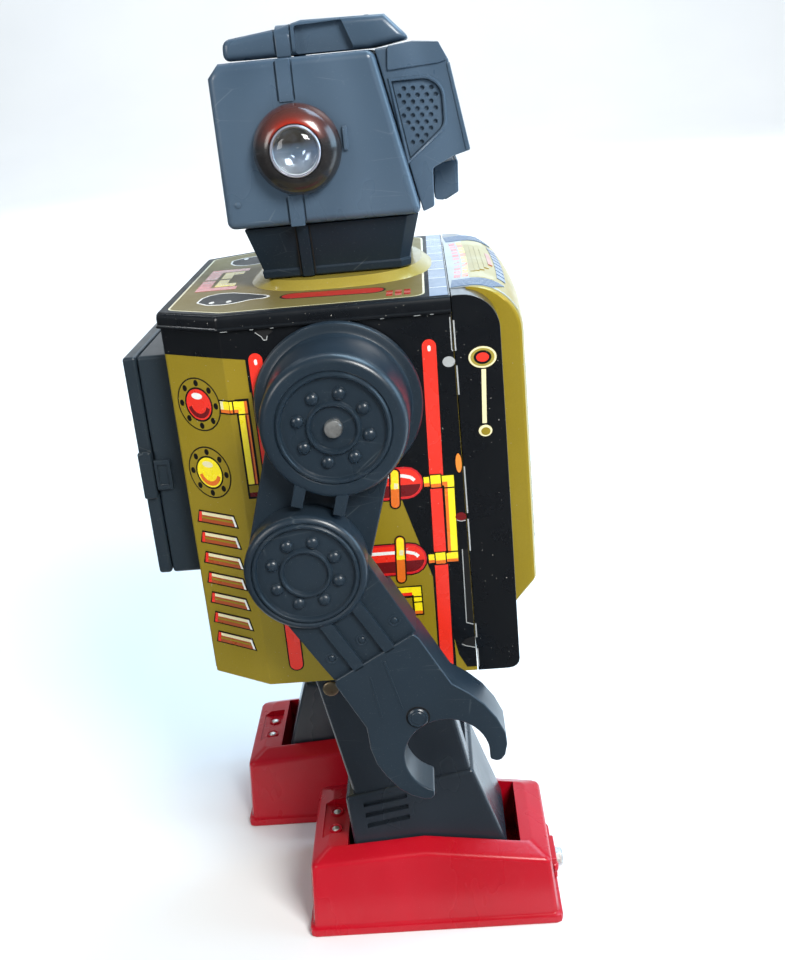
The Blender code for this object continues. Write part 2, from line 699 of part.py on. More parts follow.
def make_leg(side, body):
    name = side_name(side)
    hip = (SHOULDER_Y, HIP_Z)
    length = math.hypot(HALF_STRIDE, HIP_Z - ANKLE_Z)
    lean = leg_lean(side)
    middle = side * LEG_X

    def leaned(points):
        return [turn((SHOULDER_Y + y, HIP_Z + z), hip, lean) for y, z in points]

    x = (middle - LEG_HALF_WIDTH, middle + LEG_HALF_WIDTH)
    depth = LEG_HALF_DEPTH
    top = arc((0, 0), LEG_TOP_RADIUS, 0, 180, 12)
    shaft = leaned(top + [(-depth, -54), (depth, -54)])
    leg = solid(f"leg_{name}", slab("X", shaft, *x), "plastic_black", body)
    block_x = (middle - BLOCK_HALF_WIDTH, middle + BLOCK_HALF_WIDTH)
    ankle_block = [(-21.0, -50), (-25.4, -length - 1), (-12, -length - 9)]
    ankle_block += [(-y, z) for y, z in reversed(ankle_block)]
    add(leg, slab("X", leaned(ankle_block), *block_x))
    hollow = [(3 - depth, 13), (3 - depth, -50), (-14, -length - 30)]
    hollow += [(-y, z) for y, z in reversed(hollow)]
    cut(leg, slab("X", leaned(hollow), x[0] + 2.5, x[1] - 2.5))
    ankle = (ankle_y(side), ANKLE_Z)
    far = (middle - 40, middle + 40)
    cut(leg, rod("X", hip, HIP_HOLE_RADIUS, *far, 16), rod("X", ankle, 1.9, *far, 16))
    rivet_place = turn((SHOULDER_Y + 15.4, HIP_Z - 9.5), hip, lean)
    outer = LEG_X + LEG_HALF_WIDTH + GAP
    cut(leg, rod("X", rivet_place, 1.5, *spread(side, outer - 5, outer + 5), 12))
    shape = [(1.2, outer - 6), (1.2, outer), (2.5, outer), (2.1, outer + 0.6)]
    shape = [(radius, side * height) for radius, height in shape]
    solid(f"leg_rivet_{name}", turned("X", rivet_place, shape, 14), "brass", body)


def foot_ring(middle, ankle, z, inset, top=False):
    """One level of the foot: a long plan rectangle, whose top follows the kinked instep."""
    front = ankle + FOOT_BEHIND - FOOT_LENGTH / 2 + inset
    rear = ankle + FOOT_BEHIND + FOOT_LENGTH / 2 - inset
    kink = ankle - 0.6 + 3.5
    half = FOOT_HALF_WIDTH - inset
    heights = (26.3, 32.4, 29.6) if top else (z, z, z)
    return [
        (middle - half, front, heights[0]),
        (middle + half, front, heights[0]),
        (middle + half, kink, heights[1]),
        (middle + half, rear, heights[2]),
        (middle - half, rear, heights[2]),
        (middle - half, kink, heights[1]),
    ]


def make_foot(side, body):
    name = side_name(side)
    middle = side * LEG_X
    ankle = ankle_y(side)
    front = ankle + FOOT_BEHIND - FOOT_LENGTH / 2
    rear = ankle + FOOT_BEHIND + FOOT_LENGTH / 2
    shell = solid(
        f"foot_shell_{name}",
        loft(
            [
                foot_ring(middle, ankle, 0, 0),
                foot_ring(middle, ankle, FOOT_LIP_HEIGHT, 0),
                foot_ring(middle, ankle, FOOT_LIP_HEIGHT, FOOT_LIP_OUT),
                foot_ring(middle, ankle, 0, FOOT_DRAFT, top=True),
            ]
        ),
        "plastic_red",
        body,
    )
    wall = FOOT_WALL
    inner = loft(
        [
            foot_ring(middle, ankle, -5, wall),
            foot_ring(middle, ankle, FOOT_LIP_HEIGHT, wall + 0.6),
            foot_ring(middle, ankle, 22.0, FOOT_DRAFT + wall),
        ]
    )
    slot_y = (ankle - 28.6, ankle + 28.6)
    slot = block((middle - BLOCK_HALF_WIDTH - 0.9, middle + BLOCK_HALF_WIDTH + 0.9), slot_y, (8, 50))
    boss = rod("Y", (middle, TOE_SCREW_Z), 3.2, front - 0.7, front + 2.6, 16)
    cut(shell, inner, slot)
    add(shell, boss)
    for lug in (-1, 1):
        lug_x = sorted((middle + lug * (BLOCK_HALF_WIDTH + 0.5), middle + lug * (FOOT_HALF_WIDTH - 3.4)))
        add(shell, rod("X", (ankle, ANKLE_Z), 4.5, *lug_x, 16))
    cut(shell, rod("X", (ankle, ANKLE_Z), 1.9, middle - 21.5, middle + 21.5, 16))
    cut(shell, rod("Y", (middle, TOE_SCREW_Z), 1.6, front - 5, front + 10, 12))
    tab_y = (ankle + 30.2, rear - FOOT_DRAFT - 2.6)
    cut(shell, block((middle - 9, middle + 9), tab_y, (28.4, 40)))
    screw = [(1.3, front + 3.4), (1.3, front - 1.0), (2.4, front - 1.0), (1.8, front - 1.7)]
    solid(f"toe_screw_{name}", turned("Y", (middle, TOE_SCREW_Z), screw, 14), "steel", body)
    solid(
        f"ankle_pin_{name}",
        rod("X", (ankle, ANKLE_Z), 1.55, middle - 20.8, middle + 20.8, 14),
        "steel",
        body,
    )
    inset = wall + 1.0
    base = solid(
        f"foot_base_{name}",
        block(
            (middle - FOOT_HALF_WIDTH + inset, middle + FOOT_HALF_WIDTH - inset),
            (front + inset, rear - inset),
            (0.6, 2.2),
        ),
        "tin_black",
        body,
    )
    for roller_y in roller_places(side):
        window = block((middle - 9, middle + 9), (roller_y - 6, roller_y + 6), (-2, 5))
        cut(base, window)
        for lug in (-1, 1):
            lug_x = sorted((middle + lug * 9.2, middle + lug * 11.2))
            add(base, block(lug_x, (roller_y - 2.5, roller_y + 2.5), (1.0, 8.2)))
        cut(base, rod("X", (roller_y, ROLLER_RADIUS + ROLLER_CLEARANCE), 1.5, middle - 15, middle + 15, 12))


def roller_places(side):
    return (ankle_y(side) - 32.0, ankle_y(side) + 30.0)


def make_roller(side, end, y, body):
    middle = side * LEG_X
    centre = (y, ROLLER_RADIUS + ROLLER_CLEARANCE)
    profile = [(1.2, -12.0), (1.2, -8.6), (ROLLER_RADIUS - 0.5, -8.6), (ROLLER_RADIUS, -8.0)]
    profile += [(radius, -height) for radius, height in reversed(profile)]
    profile = [(radius, middle + height) for radius, height in profile]
    solid(f"roller_{end}_{side_name(side)}", turned("X", centre, profile, 20), "steel", body)


def gear_outline(centre, teeth, phase):
    """A spur gear's outline with tapering teeth, thinned for running clearance."""
    pitch = GEAR_MODULE * teeth / 2
    root = pitch - 1.15 * GEAR_MODULE
    tip = pitch + 0.8 * GEAR_MODULE
    step = 2 * math.pi / teeth
    points = []
    for i in range(teeth):
        middle = phase + i * step
        for radius, share in ((root, -0.34), (tip, -0.11), (tip, 0.11), (root, 0.34)):
            angle = middle + share * step
            points.append((centre[0] + radius * math.cos(angle), centre[1] + radius * math.sin(angle)))
    return points


def pinion_centre():
    return (SHOULDER_Y, CRANK_Z + GEAR_MODULE * (CRANK_TEETH + PINION_TEETH) / 2)


def make_drive(crank_body, pinion_body):
    crank = (SHOULDER_Y, CRANK_Z)
    pinion = pinion_centre()
    tooth = math.pi / 2
    wheel = slab("X", gear_outline(crank, CRANK_TEETH, tooth), -4, 4)
    gear = solid("crank_gear", wheel, "gear_plastic", crank_body)
    cut(gear, rod("X", crank, 2.3, -10, 10, 16))
    small = solid(
        "motor_pinion",
        slab("X", gear_outline(pinion, PINION_TEETH, -tooth + math.pi / PINION_TEETH), -5, 5),
        "brass",
        pinion_body,
    )
    cut(small, rod("X", pinion, 1.3, -10, 10, 12))
    shaft = solid("crank_shaft", rod("X", crank, 2.0, -18, 18, 16), "steel", crank_body)
    for way in (-1, 1):
        web = rod("X", (SHOULDER_Y, CRANK_Z + way * 3.0), 6.0, *spread(way, 14.6, 17.0), 20)
        crank_pin = rod("X", (SHOULDER_Y, CRANK_Z + way * 6.0), 1.5, *spread(way, 16.0, 21.0), 12)
        add(shaft, web, crank_pin)

    for way in (-1, 1):
        x = spread(way, PLATE_X, PLATE_X + PLATE_THICKNESS)
        plate = solid(
            f"gearbox_plate_{side_name(way)}",
            block(x, (-22, 16), (TORSO_BOTTOM_Z + TIN + GAP, 172)),
            "steel",
        )
        cut(
            plate,
            rod("X", crank, 2.35, *spread(way, 5, 25), 16),
            rod("X", (SHOULDER_Y, HIP_Z), HIP_HOLE_RADIUS, *spread(way, 5, 25), 16),
        )
    cut(bpy.data.objects["gearbox_plate_left"], rod("X", pinion, 3.4, 5, 25, 16))
    solid("hip_shaft", rod("X", (SHOULDER_Y, HIP_Z), HIP_SHAFT_RADIUS, -47.5, 47.5, 16), "steel")
    motor_x = PLATE_X + PLATE_THICKNESS + GAP
    motor = solid("motor", rod("X", pinion, MOTOR_RADIUS, motor_x, motor_x + MOTOR_LENGTH, 24), "steel")
    nose = rod("X", pinion, 3.0, motor_x - 1.0, motor_x + 2, 16)
    add(motor, nose, rod("X", pinion, 1.0, -6.5, motor_x + 2, 12))


def main():
    clear_scene()
    make_body_shell()
    make_top_plate()
    make_base_plate()
    make_front_cover()
    make_battery_box(joint_empty("battery_door_axis", (*DOOR_AXIS, BOX_LOW_Z)))
    make_batteries()
    make_switch(joint_empty("switch_axis", (0, TORSO_REAR_Y, SWITCH_Z)))
    make_neck()
    make_head()
    crank_body = joint_empty("crank_axis", (0, SHOULDER_Y, CRANK_Z))
    pinion_body = joint_empty("pinion_axis", (0, *pinion_centre()))
    make_drive(crank_body, pinion_body)
    for side in (-1, 1):
        name = side_name(side)
        make_lamp(side)
        shoulder = joint_empty(f"shoulder_axis_{name}", (side * ARM_OUTER_X, SHOULDER_Y, SHOULDER_Z))
        elbow = joint_empty(f"elbow_axis_{name}", (side * ELBOW_FACE_X, ELBOW_Y, ELBOW_Z), shoulder)
        make_upper_arm(side, shoulder)
        make_forearm(side, elbow)
        hip = joint_empty(f"hip_axis_{name}", (side * LEG_X, SHOULDER_Y, HIP_Z))
        ankle = joint_empty(f"ankle_axis_{name}", (side * LEG_X, ankle_y(side), ANKLE_Z), hip)
        make_leg(side, hip)
        make_foot(side, ankle)
        for end, y in zip(("front", "rear"), roller_places(side)):
            place = (side * LEG_X, y, ROLLER_RADIUS + ROLLER_CLEARANCE)
            make_roller(side, end, y, joint_empty(f"roller_axis_{end}_{name}", place, ankle))


main()
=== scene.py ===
"""Looks for a battery-operated tin robot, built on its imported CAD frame.

The robot faces -Y and its right side is -X. Sizes are in millimetres, and MM turns them into metres.
"""

import math

import bmesh
import bpy
from mathutils import Matrix, Vector


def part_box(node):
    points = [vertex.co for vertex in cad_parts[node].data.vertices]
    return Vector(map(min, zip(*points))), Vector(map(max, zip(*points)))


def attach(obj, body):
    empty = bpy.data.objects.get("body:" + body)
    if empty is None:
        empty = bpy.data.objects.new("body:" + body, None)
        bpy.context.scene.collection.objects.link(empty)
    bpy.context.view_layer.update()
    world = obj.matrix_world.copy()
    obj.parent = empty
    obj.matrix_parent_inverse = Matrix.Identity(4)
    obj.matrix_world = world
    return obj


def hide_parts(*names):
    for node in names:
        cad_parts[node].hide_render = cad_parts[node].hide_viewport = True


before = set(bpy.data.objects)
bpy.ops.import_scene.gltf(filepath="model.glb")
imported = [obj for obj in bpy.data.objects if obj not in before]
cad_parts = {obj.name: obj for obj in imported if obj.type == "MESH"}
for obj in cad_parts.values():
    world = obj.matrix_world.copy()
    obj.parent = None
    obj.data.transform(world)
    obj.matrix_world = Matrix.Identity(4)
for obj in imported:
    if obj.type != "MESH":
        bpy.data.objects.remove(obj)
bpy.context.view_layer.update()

MM = 0.001
SIDES = (-1, 1)


def node_box(node):
    """A CAD node's (x, y, z) ranges in millimetres."""
    low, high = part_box(node)
    return [(low[i] / MM, high[i] / MM) for i in range(3)]


def centre_of(node):
    """The (y, z) middle of a CAD node that lies along X."""
    box_of = node_box(node)
    return tuple(sum(box_of[i]) / 2 for i in (1, 2))


BODY = node_box("body_shell")
COVER = node_box("front_cover")
CASE = node_box("battery_case")
DOOR = node_box("battery_door")
HEAD = node_box("head_shell")
NECK = node_box("neck")
CROWN_TOP = node_box("crown")[2][1]
FACE_X = node_box("face")[0][1]

TORSO_X = BODY[0][1]
SEAM_Y, TORSO_REAR = BODY[1]
CREASE_Y = TORSO_REAR - 18.65
CHAMFER_X = TORSO_X - 11.3
BASE_Z = node_box("base_plate")[2][0]
LIP_Z = node_box("top_plate")[2][0]
LID_Z = BODY[2][1] + 1.3
BAND_Z = 200.3  # the black band under the lid starts here

CHEST_FRONT = COVER[1][0] + 8.75
CHEST_TOP = COVER[2][1] - 0.05
CHEST_R = 14.0
RELIEF_X = 46.0

SHOULDER = centre_of("shoulder_pin_right")
ELBOW = (8.55, 145.2)
FOREARM_LEAN = math.radians(29.4)
LENS = centre_of("lens_right")
LENS_R = 12.4
HIP = centre_of("hip_shaft")
LEG_X = sum(node_box("leg_left")[0]) / 2


# ---------------------------------------------------------------- materials


def principled(name, **sockets):
    material = bpy.data.materials.new(name)
    material.use_nodes = True
    shader = material.node_tree.nodes["Principled BSDF"]
    for key, value in sockets.items():
        shader.inputs[key.replace("_", " ")].default_value = value
    return material, material.node_tree, shader


def coords(tree, scale):
    """Object coordinates in metres, scaled."""
    source = tree.nodes.new("ShaderNodeTexCoord")
    mapping = tree.nodes.new("ShaderNodeMapping")
    mapping.inputs["Scale"].default_value = scale
    tree.links.new(source.outputs["Object"], mapping.inputs["Vector"])
    return mapping.outputs["Vector"]


def noise(tree, scale, detail, roughness=0.5, stretch=(1, 1, 1), distortion=0.0):
    node = tree.nodes.new("ShaderNodeTexNoise")
    node.inputs["Scale"].default_value = scale
    node.inputs["Detail"].default_value = detail
    node.inputs["Roughness"].default_value = roughness
    node.inputs["Distortion"].default_value = distortion
    tree.links.new(coords(tree, stretch), node.inputs["Vector"])
    return node.outputs["Fac"]


def cell_edges(tree, scale, stretch):
    """The distance to the nearest edge of a field of cells."""
    node = tree.nodes.new("ShaderNodeTexVoronoi")
    node.feature = "DISTANCE_TO_EDGE"
    node.inputs["Scale"].default_value = scale
    tree.links.new(coords(tree, stretch), node.inputs["Vector"])
    return node.outputs["Distance"]


def ramp(tree, fac, stops):
    """A colour or grey ramp: stops are (position, grey or rgb)."""
    node = tree.nodes.new("ShaderNodeValToRGB")
    elements = node.color_ramp.elements
    while len(elements) < len(stops):
        elements.new(0.5)
    for element, (position, value) in zip(elements, stops):
        element.position = position
        rgb = (value,) * 3 if isinstance(value, (int, float)) else value
        element.color = (*rgb, 1)
    tree.links.new(fac, node.inputs["Fac"])
    return node.outputs["Color"]


def mixed(tree, fac, low, high):
    """A mix of two colours by a factor; each is a socket or a constant."""
    node = tree.nodes.new("ShaderNodeMix")
    node.data_type = "RGBA"
    for socket, value in ((node.inputs[0], fac), (node.inputs[6], low), (node.inputs[7], high)):
        if isinstance(value, tuple):
            socket.default_value = (*value, 1)
        elif isinstance(value, float):
            socket.default_value = value
        else:
            tree.links.new(value, socket)
    return node.outputs[2]


def product(tree, first, second):
    """A socket times another socket or a number."""
    node = tree.nodes.new("ShaderNodeMath")
    node.operation = "MULTIPLY"
    tree.links.new(first, node.inputs[0])
    if isinstance(second, float):
        node.inputs[1].default_value = second
    else:
        tree.links.new(second, node.inputs[1])
    return node.outputs[0]


def finish(tree, shader, colour, gloss, heights):
    """Plugs in a colour, a roughness and a chain of bumps: (socket, strength, distance in mm)."""
    tree.links.new(colour, shader.inputs["Base Color"])
    tree.links.new(gloss, shader.inputs["Roughness"])
    normal = None
    for socket, strength, distance in heights:
        node = tree.nodes.new("ShaderNodeBump")
        node.inputs["Strength"].default_value = strength
        node.inputs["Distance"].default_value = distance * MM
        tree.links.new(socket, node.inputs["Height"])
        if normal is not None:
            tree.links.new(normal, node.inputs["Normal"])
        normal = node.outputs["Normal"]
    tree.links.new(normal, shader.inputs["Normal"])


def moulded_plastic(name, dark, light, roughness, dust, gloss_level=0.5, scratches=0.4):
    """Satin injection-moulded plastic with flow marks, fine scratches and dust."""
    material, tree, shader = principled(name, IOR=1.5, Specular_IOR_Level=gloss_level)
    flow = noise(tree, 20, 2, 0.5, (1.0, 1.0, 0.5), 0.7)
    base = ramp(tree, flow, [(0.25, dark), (0.75, light)])
    speck = ramp(tree, noise(tree, 3600, 1), [(0.735, 0.0), (0.77, 0.7)])
    base = mixed(tree, speck, base, dust)
    hairs = ramp(tree, cell_edges(tree, 95, (1.0, 0.35, 1.4)), [(0.0, 1.0), (0.009, 0.0)])
    patches = ramp(tree, noise(tree, 55, 2), [(0.56, 0.0), (0.66, 1.0)])
    base = mixed(tree, product(tree, product(tree, hairs, patches), scratches), base, dust)
    sheen = noise(tree, 45, 3, 0.55, (1, 1, 0.5))
    gloss = ramp(tree, sheen, [(0.25, roughness - 0.05), (0.75, roughness + 0.08)])
    grain = noise(tree, 1800, 2, 0.6)
    waves = noise(tree, 34, 1, 0.4, (1.0, 1.0, 0.6), 0.5)
    finish(tree, shader, base, gloss, [(grain, 0.12, 0.04), (waves, 0.35, 0.45)])
    return material


def lacquer(name, colour, roughness, shade=0.8, metallic=0.0, coat=0.6):
    """Lithographed ink or lacquer on tin: slightly uneven, glossy, with tiny nicks."""
    material, tree, shader = principled(
        name, Metallic=metallic, IOR=1.5, Coat_Weight=coat, Coat_Roughness=0.12
    )
    deep = tuple(channel * shade for channel in colour)
    dull = tuple(channel * 0.86 for channel in colour)
    tone = ramp(tree, noise(tree, 18, 3), [(0.3, deep), (0.7, colour)])
    speckle = ramp(tree, noise(tree, 2400, 1), [(0.35, dull), (0.65, colour)])
    nick = ramp(tree, noise(tree, 1700, 1, 0.4), [(0.785, 0.0), (0.805, 0.8)])
    base = mixed(tree, nick, mixed(tree, 0.4, tone, speckle), (0.5, 0.47, 0.42))
    gloss = ramp(tree, noise(tree, 80, 4, 0.6), [(0.3, roughness - 0.05), (0.7, roughness + 0.08)])
    dents = [(noise(tree, 480, 2), 0.08, 0.04), (noise(tree, 30, 2), 0.18, 0.25)]
    finish(tree, shader, base, gloss, dents)
    return material


def bare_metal(name, colour, roughness):
    material, tree, shader = principled(name, Metallic=1.0)
    stain = ramp(tree, noise(tree, 240, 4, 0.6), [(0.5, 0.0), (0.75, 0.8)])
    tone = mixed(tree, stain, colour, (0.16, 0.12, 0.09))
    gloss = ramp(tree, noise(tree, 300, 3, 0.6), [(0.3, roughness - 0.06), (0.7, roughness + 0.12)])
    finish(tree, shader, tone, gloss, [(noise(tree, 900, 2), 0.15, 0.04)])
    return material


def mapped(tree, socket, low, high):
    """A socket's value between two sizes in millimetres, as 0 to 1."""
    node = tree.nodes.new("ShaderNodeMapRange")
    node.inputs["From Min"].default_value = low * MM
    node.inputs["From Max"].default_value = high * MM
    tree.links.new(socket, node.inputs["Value"])
    return node.outputs["Result"]


def lamp_axes(tree):
    """Object Y and Z, and a height that is 0 at the bottom of the lamp and 1 at its top."""
    source = tree.nodes.new("ShaderNodeTexCoord")
    axes = tree.nodes.new("ShaderNodeSeparateXYZ")
    tree.links.new(source.outputs["Object"], axes.inputs["Vector"])
    height = mapped(tree, axes.outputs["Z"], LENS[1] - LENS_R, LENS[1] + LENS_R)
    return axes.outputs["Y"], axes.outputs["Z"], height


def smoky_lens(name):
    """Dusty dark red-brown plastic with painted light: it is painted orange-red towards its top and deep red
    beside the bulb's rim near the top, a painted glow standing in for light from above gathering in it.
    """
    material, tree, shader = principled(
        name, IOR=1.49, Transmission_Weight=0.1, Roughness=0.24, Coat_Weight=0.5, Coat_Roughness=0.12
    )
    y, z, height = lamp_axes(tree)
    flat = tree.nodes.new("ShaderNodeCombineXYZ")
    tree.links.new(y, flat.inputs["Y"])
    tree.links.new(z, flat.inputs["Z"])
    reach = tree.nodes.new("ShaderNodeVectorMath")
    reach.operation = "DISTANCE"
    reach.inputs[1].default_value = (0, LENS[0] * MM, LENS[1] * MM)
    tree.links.new(flat.outputs["Vector"], reach.inputs[0])
    radius = mapped(tree, reach.outputs["Value"], 6.9, LENS_R)
    # painted glow: a deep red beside the bulb's rim near the top, and an orange-red towards the top of the
    # lens, both standing in for light from above
    near_bulb = ramp(tree, radius, [(0.05, 1.0), (0.38, 0.20), (0.65, 0.0)])
    above = ramp(tree, height, [(0.60, 0.0), (0.78, 1.0)])
    painted_warm_top = ramp(tree, height, [(0.55, 0.0), (0.85, 0.75)])
    dust = ramp(tree, noise(tree, 3600, 1), [(0.70, 0.0), (0.76, 0.5)])
    smear = noise(tree, 120, 3, 0.6)
    tone = ramp(tree, smear, [(0.3, (0.013, 0.013, 0.014)), (0.7, (0.030, 0.026, 0.025))])
    tone = mixed(tree, painted_warm_top, tone, (0.105, 0.030, 0.022))
    tone = mixed(tree, dust, tone, (0.20, 0.17, 0.16))
    tone = mixed(tree, product(tree, near_bulb, above), tone, (0.36, 0.018, 0.004))
    tree.links.new(tone, shader.inputs["Base Color"])
    return material


def lamp_mirror(name):
    """The bowl behind the bulb, with painted reflections: a pale blue room is painted into its lower half and
    a dim brown one into its upper half.
    """
    material, tree, shader = principled(name, Metallic=0.45, Roughness=0.2)
    height = lamp_axes(tree)[2]
    # painted reflection: pale blue stops for the lower half, dim brown ones for the upper half
    painted_cool_bottom = [(0.25, (0.86, 0.95, 1.0)), (0.50, (0.42, 0.58, 0.78))]
    painted_warm_top = [(0.58, (0.17, 0.14, 0.11)), (0.8, (0.36, 0.29, 0.20))]
    stain = ramp(tree, noise(tree, 260, 2, 0.6), [(0.45, 0.0), (0.75, 0.5)])
    tone = mixed(tree, stain, ramp(tree, height, painted_cool_bottom + painted_warm_top), (0.55, 0.57, 0.60))
    tree.links.new(tone, shader.inputs["Base Color"])
    return material


def clear_glass(name):
    material, tree, shader = principled(name, IOR=1.45, Transmission_Weight=1.0, Roughness=0.01)
    tint = ramp(tree, noise(tree, 90, 2), [(0.4, (0.93, 0.95, 1.0)), (0.7, (1.0, 0.98, 0.94))])
    tree.links.new(tint, shader.inputs["Base Color"])
    return material


BLACK = moulded_plastic(
    "black_plastic", (0.0085, 0.0150, 0.0225), (0.0170, 0.0285, 0.0415), 0.30, (0.11, 0.13, 0.14)
)
HEAD_PLASTIC = moulded_plastic(
    "head_plastic", (0.026, 0.048, 0.076), (0.092, 0.136, 0.192), 0.27, (0.20, 0.24, 0.28)
)
BOX_PLASTIC = moulded_plastic(
    "box_plastic", (0.009, 0.0155, 0.022), (0.018, 0.029, 0.040), 0.38, (0.13, 0.14, 0.14)
)
NECK_PLASTIC = moulded_plastic(
    "neck_plastic", (0.007, 0.013, 0.021), (0.014, 0.025, 0.038), 0.42, (0.12, 0.14, 0.15), 0.2
)
LEG_PLASTIC = moulded_plastic(
    "leg_plastic", (0.0135, 0.0180, 0.0240), (0.0240, 0.0310, 0.0410), 0.24, (0.10, 0.10, 0.10)
)
RED_PLASTIC = moulded_plastic(
    "red_plastic", (0.36, 0.0014, 0.008), (0.46, 0.003, 0.015), 0.28, (0.60, 0.10, 0.15), 0.38, 0.05
)
GEAR = moulded_plastic("gear_nylon", (0.60, 0.58, 0.50), (0.74, 0.72, 0.64), 0.4, (0.5, 0.5, 0.45))

# painted shade: near-black lacquer that fills slots, notches, a switch slot and grooves in place of the shade
# inside them; the dark cards use it too
PAINTED_SHADE = lacquer("painted_shade_black", (0.004, 0.004, 0.005), 0.7, coat=0.0)
TIN_BLACK = lacquer("ink_black", (0.0045, 0.0055, 0.0075), 0.27)
LINE = lacquer("ink_line", (0.006, 0.005, 0.005), 0.3)
GOLD = lacquer("ink_gold", (0.36, 0.255, 0.012), 0.36, 0.88, 0.25, 0.5)
GOLD_PALE = lacquer("ink_gold_pale", (0.42, 0.325, 0.05), 0.34, 0.85, 0.2)
RED = lacquer("ink_red", (0.86, 0.030, 0.014), 0.26, 0.9)
CRIMSON = lacquer("ink_crimson", (0.62, 0.012, 0.018), 0.26, 0.85)
MAROON = lacquer("ink_maroon", (0.16, 0.006, 0.008), 0.28)
ORANGE = lacquer("ink_orange", (0.80, 0.16, 0.012), 0.28)
BROWN = lacquer("ink_brown", (0.42, 0.075, 0.012), 0.3)
YELLOW = lacquer("ink_yellow", (0.95, 0.76, 0.010), 0.27, 0.93)
CREAM = lacquer("ink_cream", (0.80, 0.72, 0.42), 0.3, 0.93)
LID_GOLD = lacquer("ink_lid_gold", (0.21, 0.16, 0.045), 0.48, 0.75, coat=0.0)
LID_BLACK = lacquer("ink_lid_black", (0.005, 0.006, 0.008), 0.5, coat=0.0)
LID_RED = lacquer("ink_lid_red", (0.52, 0.022, 0.022), 0.45, coat=0.0)
# painted reflection: a pale grey-blue ground for the chest's glossy black top
PAINTED_HAZE = lacquer("painted_reflection_haze", (0.34, 0.375, 0.385), 0.34, 0.85)
WHITE = lacquer("ink_white", (0.86, 0.85, 0.80), 0.28, 0.95)
PINK = lacquer("ink_pink", (0.80, 0.16, 0.17), 0.28)
BLUE = lacquer("ink_blue", (0.06, 0.125, 0.25), 0.28)
TIN_EDGE = lacquer("cut_tin_edge", (0.60, 0.61, 0.60), 0.3, metallic=0.35)
STRAY_PAINT = lacquer("stray_paint", (0.95, 0.26, 0.02), 0.4, coat=0.2)
RIM = lacquer("bright_rim", (0.50, 0.50, 0.58), 0.2, 0.6, 0.5, 0.5)
JACKET = lacquer("cell_jacket", (0.06, 0.10, 0.22), 0.35)

STEEL = bare_metal("plated_steel", (0.72, 0.72, 0.70), 0.42)
BRASS = bare_metal("brass_rivet", (0.42, 0.33, 0.22), 0.42)
LENS_RED = smoky_lens("smoky_lens")
BOWL = lamp_mirror("lamp_bowl")
GLASS = clear_glass("bulb_glass")


# ---------------------------------------------------------------- mesh helpers


def point(axis, u, v, w):
    """A flat (u, v) set at w along an axis: X takes (y, z), Y takes (x, z) and Z takes (x, y)."""
    return {"X": (w, u, v), "Y": (u, w, v), "Z": (u, v, w)}[axis]


def loft(rings, hoop=False):
    """Joins rings of points in order; a hoop joins the last to the first, or else both ends are capped."""
    bm = bmesh.new()
    made = [[bm.verts.new(p) for p in ring] for ring in rings]
    count = len(made[0])
    for low, high in zip(made, made[1:] + made[:1] if hoop else made[1:]):
        for i in range(count):
            j = (i + 1) % count
            bm.faces.new((low[i], low[j], high[j], high[i]))
    if not hoop:
        bm.faces.new(made[0][::-1])
        bm.faces.new(made[-1])
    bmesh.ops.recalc_face_normals(bm, faces=bm.faces)
    return bm


def soften(bm, width, segments, angle, keep=None):
    """Bevels the edges sharper than an angle; keep picks some of them."""
    edges = [
        e
        for e in bm.edges
        if len(e.link_faces) == 2
        and e.calc_face_angle(0.0) > math.radians(angle)
        and (keep is None or keep(e))
    ]
    if edges and width:
        bmesh.ops.bevel(
            bm,
            geom=edges,
            offset=width,
            offset_type="OFFSET",
            segments=segments,
            profile=0.5,
            affect="EDGES",
            clamp_overlap=True,
        )
    return bm


def prism(axis, outline, low, high, bevel=0.0, segments=2, angle=28.0):
    bm = loft([[point(axis, u, v, w) for u, v in outline] for w in (low, high)])
    return soften(bm, bevel, segments, angle)


def box(x, y, z, bevel=0.0, segments=2):
    return prism("Z", [(x[0], y[0]), (x[1], y[0]), (x[1], y[1]), (x[0], y[1])], z[0], z[1], bevel, segments)


def arc(centre, radius, start, end, steps):
    points = []
    for i in range(steps + 1):
        a = math.radians(start + (end - start) * i / steps)
        points.append((centre[0] + radius * math.cos(a), centre[1] + radius * math.sin(a)))
    return points


def circle(centre, radius, steps):
    return arc(centre, radius, 0, 360, steps)[:-1]


def ellipse(centre, rx, ry, steps=36):
    return [
        (centre[0] + (u - centre[0]) * rx, centre[1] + (v - centre[1]) * ry)
        for u, v in circle(centre, 1, steps)
    ]


def lathe(axis, centre, profile, steps, hoop=False):
    """A turned shape from (radius, height) pairs; the ends are capped, or joined up for a hoop."""
    return loft(
        [[point(axis, u, v, w) for u, v in circle(centre, max(r, 0.02), steps)] for r, w in profile], hoop
    )


def dome(axis, centre, radius, base, height, steps=18, rings=5):
    """A round-topped stud standing along an axis; a negative height stands the other way."""
    profile = [(radius, base - height * 0.3)]
    for i in range(rings + 1):
        a = 0.5 * math.pi * i / rings
        profile.append((radius * math.cos(a), base + height * math.sin(a)))
    return lathe(axis, centre, profile, steps)


